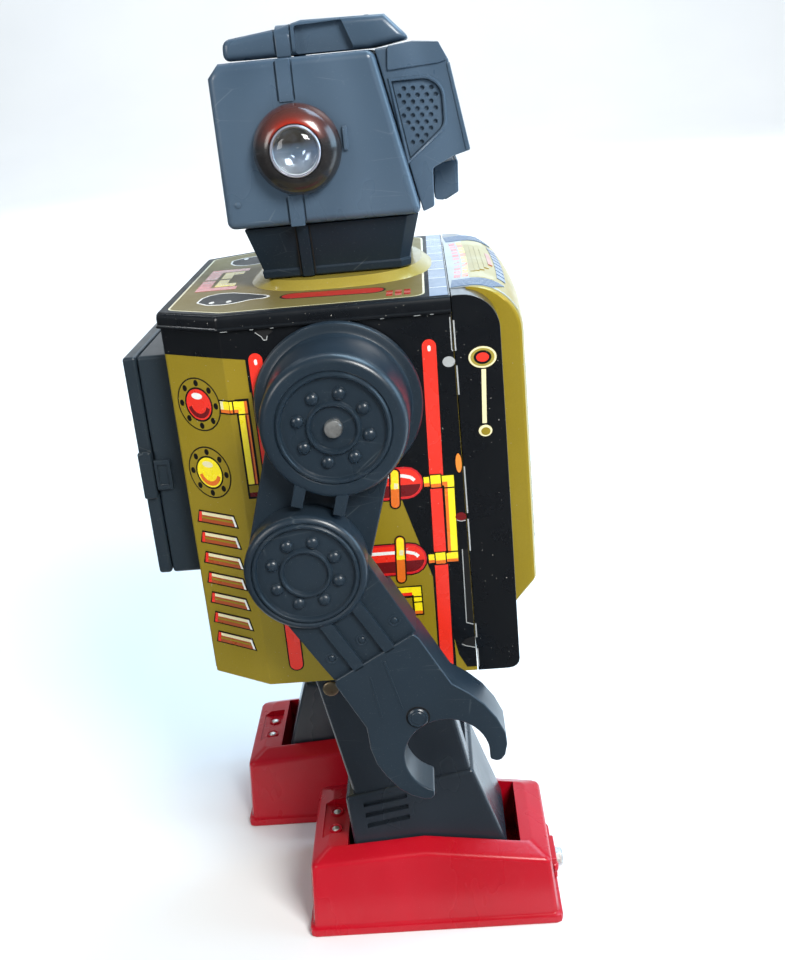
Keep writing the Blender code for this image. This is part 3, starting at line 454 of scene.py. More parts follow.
def rounded(points, radius, steps=4):
    """A polygon with every corner rounded; radius may be one number or one per corner."""
    made = []
    count = len(points)
    for i, here in enumerate(points):
        r = radius[i] if isinstance(radius, (list, tuple)) else radius
        a, b, c = Vector(points[i - 1]), Vector(here), Vector(points[(i + 1) % count])
        to_a, to_c = (a - b), (c - b)
        if r <= 0 or to_a.length < 1e-6 or to_c.length < 1e-6:
            made.append(tuple(b))
            continue
        ua, uc = to_a.normalized(), to_c.normalized()
        half = 0.5 * math.acos(max(-1.0, min(1.0, ua.dot(uc))))
        if half > math.radians(88):
            made.append(tuple(b))
            continue
        reach = min(r / math.tan(half), 0.48 * to_a.length, 0.48 * to_c.length)
        r = reach * math.tan(half)
        middle = b + (ua + uc).normalized() * (r / math.sin(half))
        start, end = b + ua * reach - middle, b + uc * reach - middle
        turn = start.angle_signed(end)
        for k in range(steps + 1):
            t = turn * k / steps
            cos, sin = math.cos(-t), math.sin(-t)
            made.append(
                (middle.x + start.x * cos - start.y * sin, middle.y + start.x * sin + start.y * cos)
            )
    return made


def join(whole, bm):
    """Adds one mesh to another and uses it up."""
    part = bpy.data.meshes.new("part")
    bm.to_mesh(part)
    whole.from_mesh(part)
    bpy.data.meshes.remove(part)
    bm.free()


def to_mesh(name, shells):
    """Joins closed shells, given as (mesh in millimetres, material), into one mesh in metres."""
    materials = []
    whole = bmesh.new()
    for bm, material in shells:
        if material not in materials:
            materials.append(material)
        slot = materials.index(material)
        for face in bm.faces:
            face.material_index = slot
        join(whole, bm)
    bmesh.ops.scale(whole, vec=(MM, MM, MM), verts=whole.verts)
    mesh = bpy.data.meshes.new(name)
    whole.to_mesh(mesh)
    whole.free()
    for material in materials:
        mesh.materials.append(material)
    return mesh


def shade(obj, sharp):
    obj.data.shade_smooth()
    obj.data.set_sharp_from_angle(angle=math.radians(sharp))
    weighted = obj.modifiers.new("face_weighted_normals", "WEIGHTED_NORMAL")
    weighted.keep_sharp = True
    weighted.weight = 70


def cut(bm, cutters):
    """A closed shell with helper shapes cut out of it; all are used up."""
    stock, before = None, bm.calc_volume()
    for shape in [bm, *cutters]:
        mesh = bpy.data.meshes.new("stock")
        shape.to_mesh(mesh)
        shape.free()
        helper = bpy.data.objects.new("stock", mesh)
        bpy.context.scene.collection.objects.link(helper)
        if stock is None:
            stock, helpers = helper, []
            continue
        helpers.append(helper)
        modifier = stock.modifiers.new("cut", "BOOLEAN")
        modifier.operation = "DIFFERENCE"
        modifier.solver = "EXACT"
        modifier.object = helper
    bpy.context.view_layer.update()
    result = bmesh.new()
    mesh = bpy.data.meshes.new_from_object(stock.evaluated_get(bpy.context.evaluated_depsgraph_get()))
    result.from_mesh(mesh)
    bpy.data.meshes.remove(mesh)
    for helper in [stock, *helpers]:
        mesh = helper.data
        bpy.data.objects.remove(helper)
        bpy.data.meshes.remove(mesh)
    if result.calc_volume() < 0.02 * before:
        raise RuntimeError("a cut left nothing of its shell")
    return result


def piece(name, body, shells, replaces=(), sharp=38.0):
    obj = bpy.data.objects.new(name, to_mesh(name, shells))
    bpy.context.scene.collection.objects.link(obj)
    shade(obj, sharp)
    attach(obj, body)
    if replaces:
        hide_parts(*replaces)
    return obj


def side_name(side):
    return "left" if side > 0 else "right"


def span(side, near, far):
    """The range of x between two distances from the middle plane, on one side."""
    return sorted((side * near, side * far))


def outward(side, *profile):
    """(radius, distance from the middle plane) pairs as a lathe profile on one side."""
    return [(r, side * w) for r, w in profile]


def rotated(pairs, centre, angle):
    """(u, v) points turned about a centre."""
    c, s = math.cos(angle), math.sin(angle)
    out = []
    for u, v in pairs:
        du, dv = u - centre[0], v - centre[1]
        out.append((centre[0] + du * c - dv * s, centre[1] + du * s + dv * c))
    return out


# ---------------------------------------------------------------- printed decoration

KEY = 0.38  # width of the printed black keyline
INK_ROOT, INK_TOP = -0.25, 0.065  # an ink shape starts inside its surface and stands a hair above it
LEVEL_STEP, ORDER_STEP = 0.02, 0.0012  # a higher level, or a later shape, lies a little higher


class Print:
    """Flat ink shapes laid on a surface; each level lies on the one below it."""

    def __init__(self, place):
        self.place = place  # (u, v, height) to a point in millimetres
        self.shells = []

    def ink(self, outline, colour, level=0):
        top = INK_TOP + LEVEL_STEP * level + ORDER_STEP * len(self.shells)
        shell = loft([[self.place(u, v, h) for u, v in outline] for h in (INK_ROOT, top)])
        self.shells.append((shell, colour))

    def bars(self, *bars):
        """Upright rectangles: (u0, u1, v0, v1, colour, level)."""
        for *sides, colour, level in bars:
            self.ink(rect(*sides), colour, level)

    def disc(self, centre, rx, ry, colour, level=0):
        self.ink(ellipse(centre, rx, ry), colour, level)

    def capsule(self, a, b, radius, colour, level=0, steps=8):
        self.ink(capsule_outline(a, b, radius, steps), colour, level)

    def strip(self, a, b, width, colour, level=0):
        (au, av), (bu, bv) = a, b
        length = math.hypot(bu - au, bv - av)
        nu, nv = -(bv - av) / length * width / 2, (bu - au) / length * width / 2
        corners = [(au + nu, av + nv), (bu + nu, bv + nv), (bu - nu, bv - nv), (au - nu, av - nv)]
        self.ink(corners, colour, level)

    def path(self, points, width, colour, level):
        for a, b in zip(points, points[1:]):
            self.strip(a, b, width, colour, level)

    def keylines(self, level, *ends):
        for a, b in ends:
            self.strip(a, b, KEY, LINE, level)


def capsule_outline(a, b, radius, steps=8):
    heading = math.degrees(math.atan2(b[1] - a[1], b[0] - a[0]))
    far_end = arc(b, radius, heading - 90, heading + 90, steps)
    return far_end + arc(a, radius, heading + 90, heading + 270, steps)


def rect(u0, u1, v0, v1):
    return [(u0, v0), (u1, v0), (u1, v1), (u0, v1)]


def polar(centre, radius, degrees):
    a = math.radians(degrees)
    return (centre[0] + radius * math.cos(a), centre[1] + radius * math.sin(a))


def grown(outline, amount):
    """A convex outline pushed outwards."""
    count = len(outline)
    middle = Vector((sum(p[0] for p in outline) / count, sum(p[1] for p in outline) / count))
    out = []
    for i, (u, v) in enumerate(outline):
        a, b, c = Vector(outline[i - 1]), Vector((u, v)), Vector(outline[(i + 1) % count])
        e1, e2 = (b - a), (c - b)
        n1, n2 = Vector((e1.y, -e1.x)).normalized(), Vector((e2.y, -e2.x)).normalized()
        if n1.dot(b - middle) < 0:
            n1, n2 = -n1, -n2
        n = n1 + n2
        n = n / n.length_squared * 2
        out.append((u + n.x * amount, v + n.y * amount))
    return out


def chamfer_place(side):
    """Across the slanted rear panel from the crease (u = 0) towards the back."""
    length = math.hypot(TORSO_X - CHAMFER_X, TORSO_REAR - CREASE_Y)
    along = ((CHAMFER_X - TORSO_X) / length, (TORSO_REAR - CREASE_Y) / length)
    out = (along[1], -along[0])

    def place(u, v, h):
        return (side * (TORSO_X + along[0] * u + out[0] * h), CREASE_Y + along[1] * u + out[1] * h, v)

    return place


def gauge(sheet, centre, lamp, shadow):
    """A round instrument: keyline ring, eight rivet dots and a domed lamp."""
    u, v = centre
    sheet.disc(centre, 8.0, 8.0, LINE)
    sheet.disc(centre, 7.58, 7.58, GOLD, 1)
    for i in range(8):
        sheet.disc(polar(centre, 6.35, 45 * i), 0.82, 0.95, LINE, 2)
    sheet.disc(centre, 5.15, 5.15, LINE, 2)
    sheet.disc(centre, 4.6, 4.6, lamp, 3)
    sheet.ink(arc(centre, 4.1, 195, 345, 16) + arc((u, v + 0.2), 2.9, 345, 195, 16), shadow, 4)
    sheet.ink(ellipse((u + 0.3, v + 2.5), 2.0, 0.95), WHITE if lamp is RED else CREAM, 4)


def louvre(sheet, top):
    """One slanted vent, drawn as (upper right, upper left, lower left, lower right) corners below its top."""
    for corners, colour, level in (
        (((18.0, 0.0), (4.5, 0.0), (3.3, 4.1), (19.4, 4.1)), LINE, 0),
        (((17.7, 0.45), (4.75, 0.45), (3.85, 3.7), (18.75, 3.7)), BROWN, 1),
        (((17.9, 0.5), (16.9, 0.5), (17.6, 3.7), (18.7, 3.7)), RED, 2),
        (((16.9, 0.5), (4.8, 0.5), (4.5, 1.5), (17.0, 1.5)), CREAM, 2),
        (((5.5, 0.5), (4.75, 0.5), (3.85, 3.65), (4.6, 3.65)), WHITE, 3),
        (((17.2, 2.0), (4.7, 2.0), (4.45, 2.6), (17.3, 2.6)), GOLD, 2),
    ):
        sheet.ink([(u, top - drop) for u, drop in corners], colour, level)


def tube(sheet, a, b):
    """A printed red glass tube with round ends and a glint."""
    radius = 1.95
    sheet.capsule(a, b, radius + KEY, LINE)
    sheet.capsule(a, b, radius, RED, 1)
    length = math.dist(a, b)
    near, far = ([a[i] + (b[i] - a[i]) / length * reach for i in (0, 1)] for reach in (0.2, 1.0))
    sheet.capsule(near, far, 0.42, WHITE, 2, 5)


def lamp_capsule(sheet, left, right, z):
    """A red lamp tube with a white glint above and a dark lower half."""
    radius = 4.9
    a, b = (left, z), (right, z)
    sheet.capsule(a, b, radius + KEY, LINE)
    sheet.capsule(a, b, radius, CRIMSON, 1)
    sheet.capsule(a, b, radius - 0.55, RED, 2)
    sheet.ink(arc(b, radius - 0.75, 270, 188, 10) + arc(a, radius - 0.75, 352, 270, 10), MAROON, 3)
    glint = [(left, z + 2.3), (right + 1.0, z + 2.3), (right - 1.5, z + 1.6), (right - 2.5, z + 0.6)]
    sheet.path(glint, 1.0, WHITE, 3)


def clamp(sheet, top, bottom):
    u, v = (top[i] * 0.55 + bottom[i] * 0.45 for i in (0, 1))
    sheet.capsule(top, bottom, 1.25 + KEY, LINE, 3)
    sheet.capsule(top, bottom, 1.2, ORANGE, 4)
    sheet.capsule(top, (u, v + 0.4), 1.05, YELLOW, 5)
    sheet.ink(rect(u - 1.2, u + 1.2, v - 0.5, v + 0.9), YELLOW, 5)
    sheet.strip((top[0] - 0.2, top[1] - 3.0), (top[0], top[1] - 4.6), 1.2, CREAM, 6)


def side_print(side):
    """The printed side of the tin, in (y, z)."""
    sheet = Print(lambda u, v, h: (side * (TORSO_X + h), u, v))
    top, low = LIP_Z + 0.2, BASE_Z + 1.4
    front, crease = SEAM_Y + 0.05, CREASE_Y - 0.2
    ground = [(front, low), (front, top), (crease, top), (crease, BAND_Z), (21.2, 199.4), (21.2, 190)]
    ground += [(-8, 190), (-12.0, 178.0), (-18.6, 153.0), (-25.2, 129.4), (-24.8, low)]
    sheet.ink(ground, TIN_BLACK)
    sheet.ink([(-30.0, 108.5), (-30.0, low), (-33.2, low), (-31.0, 103.0)], GOLD, 1)

    # the two long tubes and the feed pipe from the instruments
    tube(sheet, (18.4, 199.1), (18.5, 103.6))
    tube(sheet, (-29.5, 198.9), (-27.2, 100.4))
    sheet.ink(grown(rect(22.2, 25.3, 158.8, 188.0), KEY), LINE, 1)
    sheet.bars(
        (25.0, 27.4, 184.0, 188.2, LINE, 1),
        (22.4, 25.1, 159.2, 187.7, YELLOW, 2),
        (25.0, 27.35, 184.5, 187.8, YELLOW, 2),
        (22.4, 23.2, 159.2, 187.7, ORANGE, 3),
        (22.9, 23.4, 162.8, 183.6, MAROON, 3),
        (25.0, 27.35, 184.5, 185.4, ORANGE, 3),
    )
    sheet.keylines(
        4, ((22.2, 183.9), (25.3, 183.9)), ((22.2, 162.7), (25.3, 162.7)), ((26.4, 184.2), (26.4, 188.0))
    )
    sheet.bars((22.4, 25.1, 159.1, 160.4, MAROON, 4), (22.4, 25.1, 160.4, 162.5, GOLD, 4))

    # two lamps with clamps and their yellow pipe loop
    lamp_capsule(sheet, -9.0, -19.8, 159.6)
    lamp_capsule(sheet, -4.0, -19.0, 135.8)
    clamp(sheet, (-16.8, 162.7), (-16.2, 153.4))
    clamp(sheet, (-16.5, 141.8), (-15.9, 129.6))
    loop = [(-25.0, 159.4), (-32.0, 159.2), (-31.6, 135.3), (-24.4, 135.3)]
    sheet.path(loop, 3.2 + 2 * KEY, LINE, 1)
    sheet.bars(
        (-33.9, -30.3, 157.3, 161.2, LINE, 1),
        (-33.3, -29.9, 133.3, 137.2, LINE, 1),
        (-33.5, -24.9, 158.0, 160.9, YELLOW, 4),
    )
    sheet.ink([(-30.7, 160.0), (-33.5, 160.9), (-33.0, 134.0), (-30.2, 134.0)], YELLOW, 4)
    sheet.bars((-33.0, -24.4, 134.0, 136.7, YELLOW, 4), (-31.3, -24.9, 158.0, 159.1, ORANGE, 5))
    sheet.ink([(-31.6, 159.1), (-30.75, 159.1), (-30.2, 136.8), (-31.1, 136.8)], ORANGE, 5)
    sheet.bars((-33.0, -24.4, 134.0, 134.9, ORANGE, 5))
    for u, z0, z1 in ((-28.3, 157.4, 161.4), (-27.9, 133.4, 137.2)):
        sheet.ink(grown(rect(u - 1.6, u + 1.6, z0, z1), 0.2), LINE, 5)
        sheet.bars(
            (u - 1.45, u + 1.45, z0 + 0.2, z1 - 0.1, YELLOW, 6),
            (u - 1.45, u + 1.45, z0 + 0.2, z0 + 1.3, ORANGE, 7),
        )
    sheet.keylines(6, ((-30.4, 157.2), (-33.6, 157.2)), ((-30.0, 137.2), (-33.2, 137.2)))

    # a short pipe end lower down
    sheet.ink(grown(rect(-21.3, -12.0, 123.6, 126.6), KEY), LINE)
    sheet.ink(grown(rect(-21.3, -18.9, 117.6, 126.6), KEY), LINE)
    sheet.bars(
        (-21.3, -12.0, 124.0, 126.6, YELLOW, 1),
        (-21.3, -19.0, 117.7, 126.6, YELLOW, 1),
        (-18.6, -12.0, 123.9, 124.9, RED, 2),
        (-21.3, -19.0, 117.7, 118.7, ORANGE, 2),
    )
    sheet.keylines(3, ((-21.4, 123.4), (-18.8, 123.4)), ((-21.4, 121.6), (-18.8, 121.6)))

    # joints where the tin is cut and folded over the front edge; their slots and gaps are painted shade, dark
    # ink in place of the openings
    sheet.ink([(-36.2, 211), (-36.2, 197.4), (-35.9, 196.9), (-35.6, 197.4), (-35.7, 206.8)], PAINTED_SHADE, 1)
    sheet.path([(-35.75, 206.5), (-35.65, 197.5), (-35.95, 197.0)], 0.28, TIN_EDGE, 2)
    sheet.ink(ellipse((-34.6, 194.1), 1.75, 1.5, 20), TIN_EDGE, 1)
    sheet.ink(ellipse((-34.7, 147.9), 1.6, 1.35, 20), MAROON, 3)
    sheet.path([(-36.0, 146.7), (-34.6, 146.55), (-33.4, 147.0)], 0.25, TIN_EDGE, 4)
    sheet.ink([(-36.2, 108.9), (-33.2, 108.0), (-32.2, 106.6), (-33.4, 105.9), (-36.2, 105.2)], PAINTED_SHADE, 1)
    sheet.path([(-36.0, 112.9), (-34.0, 113.6), (-34.4, 137.6)], 0.26, TIN_EDGE, 1)
    sheet.ink([(-36.2, 137.6), (-34.7, 137.4), (-34.2, 114.0), (-36.2, 113.4)], PAINTED_SHADE, 1)
    sheet.path([(-32.1, 106.5), (-33.3, 105.8), (-36.1, 105.0)], 0.26, TIN_EDGE, 2)
    sheet.ink(ellipse((-35.2, 164.4), 0.85, 2.9, 16), STRAY_PAINT, 3)
    # the lid's notch is painted shade, dark ink in place of its opening
    notch = [(17.6, 208.0), (17.4, 206.6), (15.8, 205.6), (15.4, 204.6)]
    notch += [(14.6, 204.6), (14.3, 205.6), (12.8, 206.6), (12.6, 208.0)]
    sheet.ink(notch, PAINTED_SHADE, 1)
    torn = [(17.5, 206.8), (15.9, 205.5), (15.4, 204.5), (14.6, 204.5), (14.2, 205.6)]
    sheet.path(torn, 0.24, TIN_EDGE, 2)
    return sheet


def chamfer_print(side):
    sheet = Print(chamfer_place(side))
    gauge(sheet, (11.4, 186.1), RED, MAROON)
    gauge(sheet, (11.3, 165.4), YELLOW, ORANGE)
    sheet.bars(
        (0.1, 3.6, 184.0, 188.2, LINE, 0),
        (0.15, 3.3, 184.45, 187.8, YELLOW, 3),
        (0.15, 3.3, 184.45, 185.4, ORANGE, 4),
        (2.2, 3.2, 185.4, 187.8, CREAM, 4),
    )
    for i in range(7):
        louvre(sheet, 152.8 - 6.77 * i)
    return sheet


def back_print():
    """The flat back: plain generic vents and a red switch plate, whose slot is painted shade."""
    sheet = Print(lambda u, v, h: (u, TORSO_REAR + h, v))
    vent = (
        (LINE, (17, 0.0), (34, 0.0), (35.5, 3.4), (15.5, 3.4)),
        (BROWN, (17.3, 0.4), (33.8, 0.4), (34.9, 3.0), (16.1, 3.0)),
        (CREAM, (17.3, 0.4), (33.8, 0.4), (34.1, 1.2), (17.0, 1.2)),
    )
    for side in SIDES:
        for i in range(4):
            z = 121.5 - 6.0 * i
            for level, (colour, *corners) in enumerate(vent):
                sheet.ink([(side * x, z - drop) for x, drop in corners], colour, level)
    sheet.ink(rounded(rect(-11.5, 11.5, 109.0, 117.0), 2.0), LINE)
    sheet.ink(rounded(rect(-11.0, 11.0, 109.5, 116.5), 1.8), RED, 1)
    # painted shade fills the switch's slot
    sheet.ink(rect(-9.0, 9.0, 111.0, 115.0), PAINTED_SHADE, 2)
    return sheet


def top_print():
    """The printed lid, in (x, y): gold panel, red strips, a dark round-ended window and small squares."""
    sheet = Print(lambda u, v, h: (u, v, LID_Z + h))
    edge, rear = TORSO_X - 0.4, TORSO_REAR - 0.2

    def plan(front, side_in, crease_in, corner_in, rear_in):
        half = [(edge - side_in, front), (edge - side_in, CREASE_Y - crease_in)]
        half.append((CHAMFER_X - corner_in, rear - rear_in))
        return [(-u, v) for u, v in half] + half[::-1]

    sheet.ink(plan(SEAM_Y + 0.3, 0, 0, 0, 0), LID_BLACK)
    panel = rounded(plan(-29.5, 2.2, 0.6, 1.4, 2.2), 4.0)
    sheet.ink(panel, CREAM, 1)
    sheet.ink(grown(panel, -0.6), LID_GOLD, 2)
    window = [(-28.8, 36.0), (-25.0, 34.2), (-22.9, 31.0), (-23.6, 27.0), (-27.0, 22.0), (-31.4, 16.4)]
    window += [(-33.6, 14.6), (-35.8, 16.0), (-36.6, 20.5), (-39.6, 24.0), (-41.0, 28.0), (-39.8, 32.6)]
    window = rounded(window + [(-35.0, 36.4)], 2.6)
    middle = (-31.8, 27.5)
    pane = [(middle[0] + (u - middle[0]) * 0.90, middle[1] + (v - middle[1]) * 0.93) for u, v in window]
    bracket = [(-17.5, 27.5), (-17.5, 40.0), (-1.0, 40.0), (-1.0, 36.0), (-13.0, 36.0), (-13.0, 27.5)]
    inlay = [(-12.0, 28.5), (-12.0, 34.8), (-1.0, 34.8), (-1.0, 31.5), (-7.5, 31.5), (-7.5, 28.5)]
    shapes = [
        (capsule_outline((-38.3, -14.6), (-36.3, 8.0), 4.0), LID_BLACK, 2),
        (capsule_outline((-38.3, -14.6), (-36.3, 8.0), 3.4), LID_RED, 3),
        (window, WHITE, 2),
        (pane, LID_BLACK, 3),
        (ellipse((-36.6, 31.6), 1.5, 0.8, 14), WHITE, 4),
        (ellipse((-36.8, 26.6), 1.5, 0.8, 14), WHITE, 4),
        (bracket, CRIMSON, 2),
        (inlay, YELLOW, 2),
    ]
    for i in range(3):
        for j in range(3):
            square = rect(-47.8 + 2.5 * i, -46.0 + 2.5 * i, -25.6 + 2.5 * j, -23.8 + 2.5 * j)
            shapes.append((square, PINK if (i + j) % 2 else CRIMSON, 2))
    for side in SIDES:
        front = []
        for i in range(0 if side < 0 else 1, 4):  # the outermost column is on one side only
            for j in range(3):
                square = rect(-13.5 + 3.2 * i, -11.3 + 3.2 * i, -26.0 + 2.9 * j, -24.2 + 2.9 * j)
                front.append((square, (PINK, BLUE, CRIMSON)[(i + j) % 3], 2))
        for outline, colour, level in shapes + front:
            sheet.ink([(side * u, v) for u, v in outline], colour, level)
    sheet.ink(rect(-edge + 0.5, edge - 0.5, SEAM_Y + 0.5, SEAM_Y + 5.5), BLUE, 1)
    for i in range(-3, 4):
        sheet.strip((i * 14.0, SEAM_Y + 0.6), (i * 14.0, SEAM_Y + 5.4), 0.5, WHITE, 2)
    return sheet


# ---------------------------------------------------------------- torso


def torso_plan(inset, front, radius=1.6):
    half = TORSO_X - inset
    rear = TORSO_REAR - inset
    chamfer = CHAMFER_X - inset * 0.55
    crease = CREASE_Y - inset * 0.35
    left = [(half, front), (half, crease), (chamfer, rear)]
    return rounded([(-x, y) for x, y in left] + left[::-1], [0, radius, radius, radius, radius, 0], 4)


def superellipse(rx, ry):
    power, steps = 2.6, 56
    points = []
    for i in range(steps):
        a = 2 * math.pi * i / steps
        u, v = (math.copysign(abs(part) ** (2 / power), part) for part in (math.cos(a), math.sin(a)))
        points.append((rx * u, ry * v))
    return points


def make_torso():
    outer, inner = torso_plan(0, SEAM_Y), torso_plan(1.0, SEAM_Y)
    wall = prism("Z", outer + inner[::-1], *BODY[2])
    through = (TORSO_REAR - 4, TORSO_REAR + 4)
    box_hole = box((CASE[0][0] + 0.6, CASE[0][1]), through, (CASE[2][0] - 0.3, CASE[2][1] + 0.3))
    switch_hole = box((-9, 9), through, (111, 115))
    axle_hole = lathe("X", SHOULDER, [(3.4, -60), (3.4, 60)], 24)
    tin = cut(wall, [box_hole, switch_hole, axle_hole])
    piece("torso_tin", "torso", [(tin, GOLD)], ["body_shell"])

    # the lid's lip: how far it stands out of the body, and at what height
    lip = [(0.75, 0), (1.15, 0.2), (1.25, 0.5), (1.15, 0.85), (0.8, 1.1)]
    lid_line = [(out, LIP_Z + rise) for out, rise in lip]
    lid_line += [(out, LID_Z - drop) for out, drop in ((0.75, 1.5), (0.6, 0.75), (0.25, 0.25), (-0.4, 0))]
    lid = loft([[(u, v, z) for u, v in torso_plan(-out, SEAM_Y, 2.0)] for out, z in lid_line])
    hollow = prism("Z", torso_plan(-0.3, SEAM_Y - 5, 1.7), LIP_Z - 5, LID_Z - 1.0)
    piece("torso_lid", "torso", [(cut(lid, [hollow]), TIN_BLACK)], ["top_plate"])
    rings = []
    for narrower, rise in ((0.0, -0.4), (0.85, 0.5), (2.04, 1.5), (3.06, 2.3), (3.4, 2.6)):
        plan = superellipse(31.0 - narrower, 28.5 - narrower)
        rings.append([(x, y - 4.1, LID_Z + rise) for x, y in plan])
    piece("neck_collar", "torso", [(loft(rings), GOLD_PALE)])

    band = torso_plan(-0.05, SEAM_Y + 0.02) + torso_plan(0.5, SEAM_Y + 0.02)[::-1]
    piece("top_band", "torso", [(prism("Z", band, BAND_Z, LIP_Z - 0.02), TIN_BLACK)])
    base = prism("Z", torso_plan(0.1, SEAM_Y), BASE_Z, BASE_Z + 1.25)
    hole_y = (HIP[0] - 24, HIP[0] + 24)
    holes = [box(span(side, LEG_X - 15.5, LEG_X + 15.5), hole_y, (90, 105)) for side in SIDES]
    piece("torso_base", "torso", [(cut(base, holes), GOLD)], ["base_plate"])

    for name, draw in (("side_print", side_print), ("rear_panel_print", chamfer_print)):
        for side in SIDES:
            piece(f"{name}_{side_name(side)}", "torso", draw(side).shells)
    piece("back_print", "torso", back_print().shells)
    piece("lid_print", "torso", top_print().shells)

    # the fold under the lid's lip shows bare metal in places
    nicks = []
    places = ((25.9, 1.0), (18.2, 0.5), (12.6, 0.5), (-8.0, 0.7), (-17.5, 0.5), (-27.0, 0.9), (-31.0, 0.5))
    for side in SIDES:
        for y, length in places:
            x = span(side, TORSO_X + 0.75, TORSO_X + 0.98)
            nicks.append((box(x, (y - length, y + length), (LIP_Z - 0.06, LIP_Z + 0.25)), TIN_EDGE))
    piece("lid_nicks", "torso", nicks)


# ---------------------------------------------------------------- chest


def relief_depth(x):
    across = x / RELIEF_X
    return 6.95 + 1.75 * (1 - across * across)


def relief_outline(depth):
    """The relief's side outline in (y, z) where it stands out by depth."""
    front = CHEST_FRONT - depth
    lower = [(CHEST_FRONT + 1.0, 115.0), (CHEST_FRONT, 115.0), (front + 0.6, 121.4), (front, 122.6)]
    bend = arc((front + CHEST_R, CHEST_TOP - CHEST_R), CHEST_R, 180, 90, 12)
    return lower + bend + [(CHEST_FRONT + 7, CHEST_TOP - 4.5)]


def make_chest():
    rear, radius = COVER[1][1], 10.0
    side_view = [(rear, BASE_Z), (CHEST_FRONT + 3, BASE_Z)]
    side_view += arc((CHEST_FRONT + 3, BASE_Z + 3), 3, 270, 180, 4)[1:]
    side_view += arc((CHEST_FRONT + radius, LID_Z - radius), radius, 180, 90, 12) + [(rear, LID_Z)]
    block = prism("X", side_view, -TORSO_X, TORSO_X)

    def on_side_edge(edge):
        return all(v.co.y < rear - 0.5 and abs(v.co.x) > TORSO_X - 0.1 for v in edge.verts)

    soften(block, 2.6, 5, 50, on_side_edge)
    hollow_view = [(y + (1.2 if y < rear - 1 else 6), z + (1.2 if z < 150 else -1.2)) for y, z in side_view]
    hollow = prism("X", hollow_view, -TORSO_X + 1.4, TORSO_X - 1.4)
    piece("chest_cover", "torso", [(cut(block, [hollow]), TIN_BLACK)], ["front_cover"], 34)

    # the relief bulges across the chest, and its two ends are rounded off by the given amounts
    rounding = [
        (RELIEF_X, 1.5), (45.5, 0.55), (44.4, 0.1), (42.0, 0.0)
    ] + [(x, 0.0) for x in (36, 27, 18, 9)]
    stations = [(-x, off) for x, off in rounding] + [(0, 0.0)] + rounding[::-1]
    rings = [[(x, y, z) for y, z in relief_outline(relief_depth(x) - off)] for x, off in stations]
    piece("chest_relief", "torso", [(loft(rings), GOLD)], (), 32)

    # the front joint: bare cut edge of the cover beside the body
    edge = []
    worn = ((197.0, 205.5), (184.5, 192.8), (148.9, 163.2), (137.0, 147.0), (108.4, 113.0), (98.5, 104.5))
    for side in SIDES:
        for z in worn:
            strip = box(span(side, TORSO_X - 0.15, TORSO_X + 0.18), (rear - 0.35, rear + 0.05), z)
            edge.append((strip, TIN_EDGE))
    piece("cover_edge", "torso", edge)
    for side in SIDES:
        piece(f"cover_print_{side_name(side)}", "torso", cover_print(side).shells)
    piece("relief_print", "torso", relief_print().shells)
    piece("chest_top_print", "torso", chest_top_print().shells)


def cover_print(side):
    """A ring on a short printed rod, in (y, z)."""
    sheet = Print(lambda u, v, h: (side * (TORSO_X + h), u, v))
    ring = (
        (4.2, 3.5, LINE), (3.85, 3.05, CREAM), (3.3, 2.55, GOLD_PALE), (2.45, 1.95, LINE), (1.75, 1.3, RED)
    )
    for level, (rx, ry, colour) in enumerate(ring):
        sheet.disc((-43.9, 194.6), rx, ry, colour, level)
    sheet.strip((-44.0, 191.2), (-43.3, 175.6), 1.9, LINE)
    sheet.strip((-44.0, 191.2), (-43.3, 175.6), 1.25, CREAM, 1)
    sheet.disc((-43.4, 173.4), 2.3, 2.1, LINE)
    sheet.disc((-43.4, 173.4), 1.9, 1.7, CREAM, 1)
    sheet.disc((-43.5, 173.2), 1.3, 1.15, GOLD, 2)
    return sheet


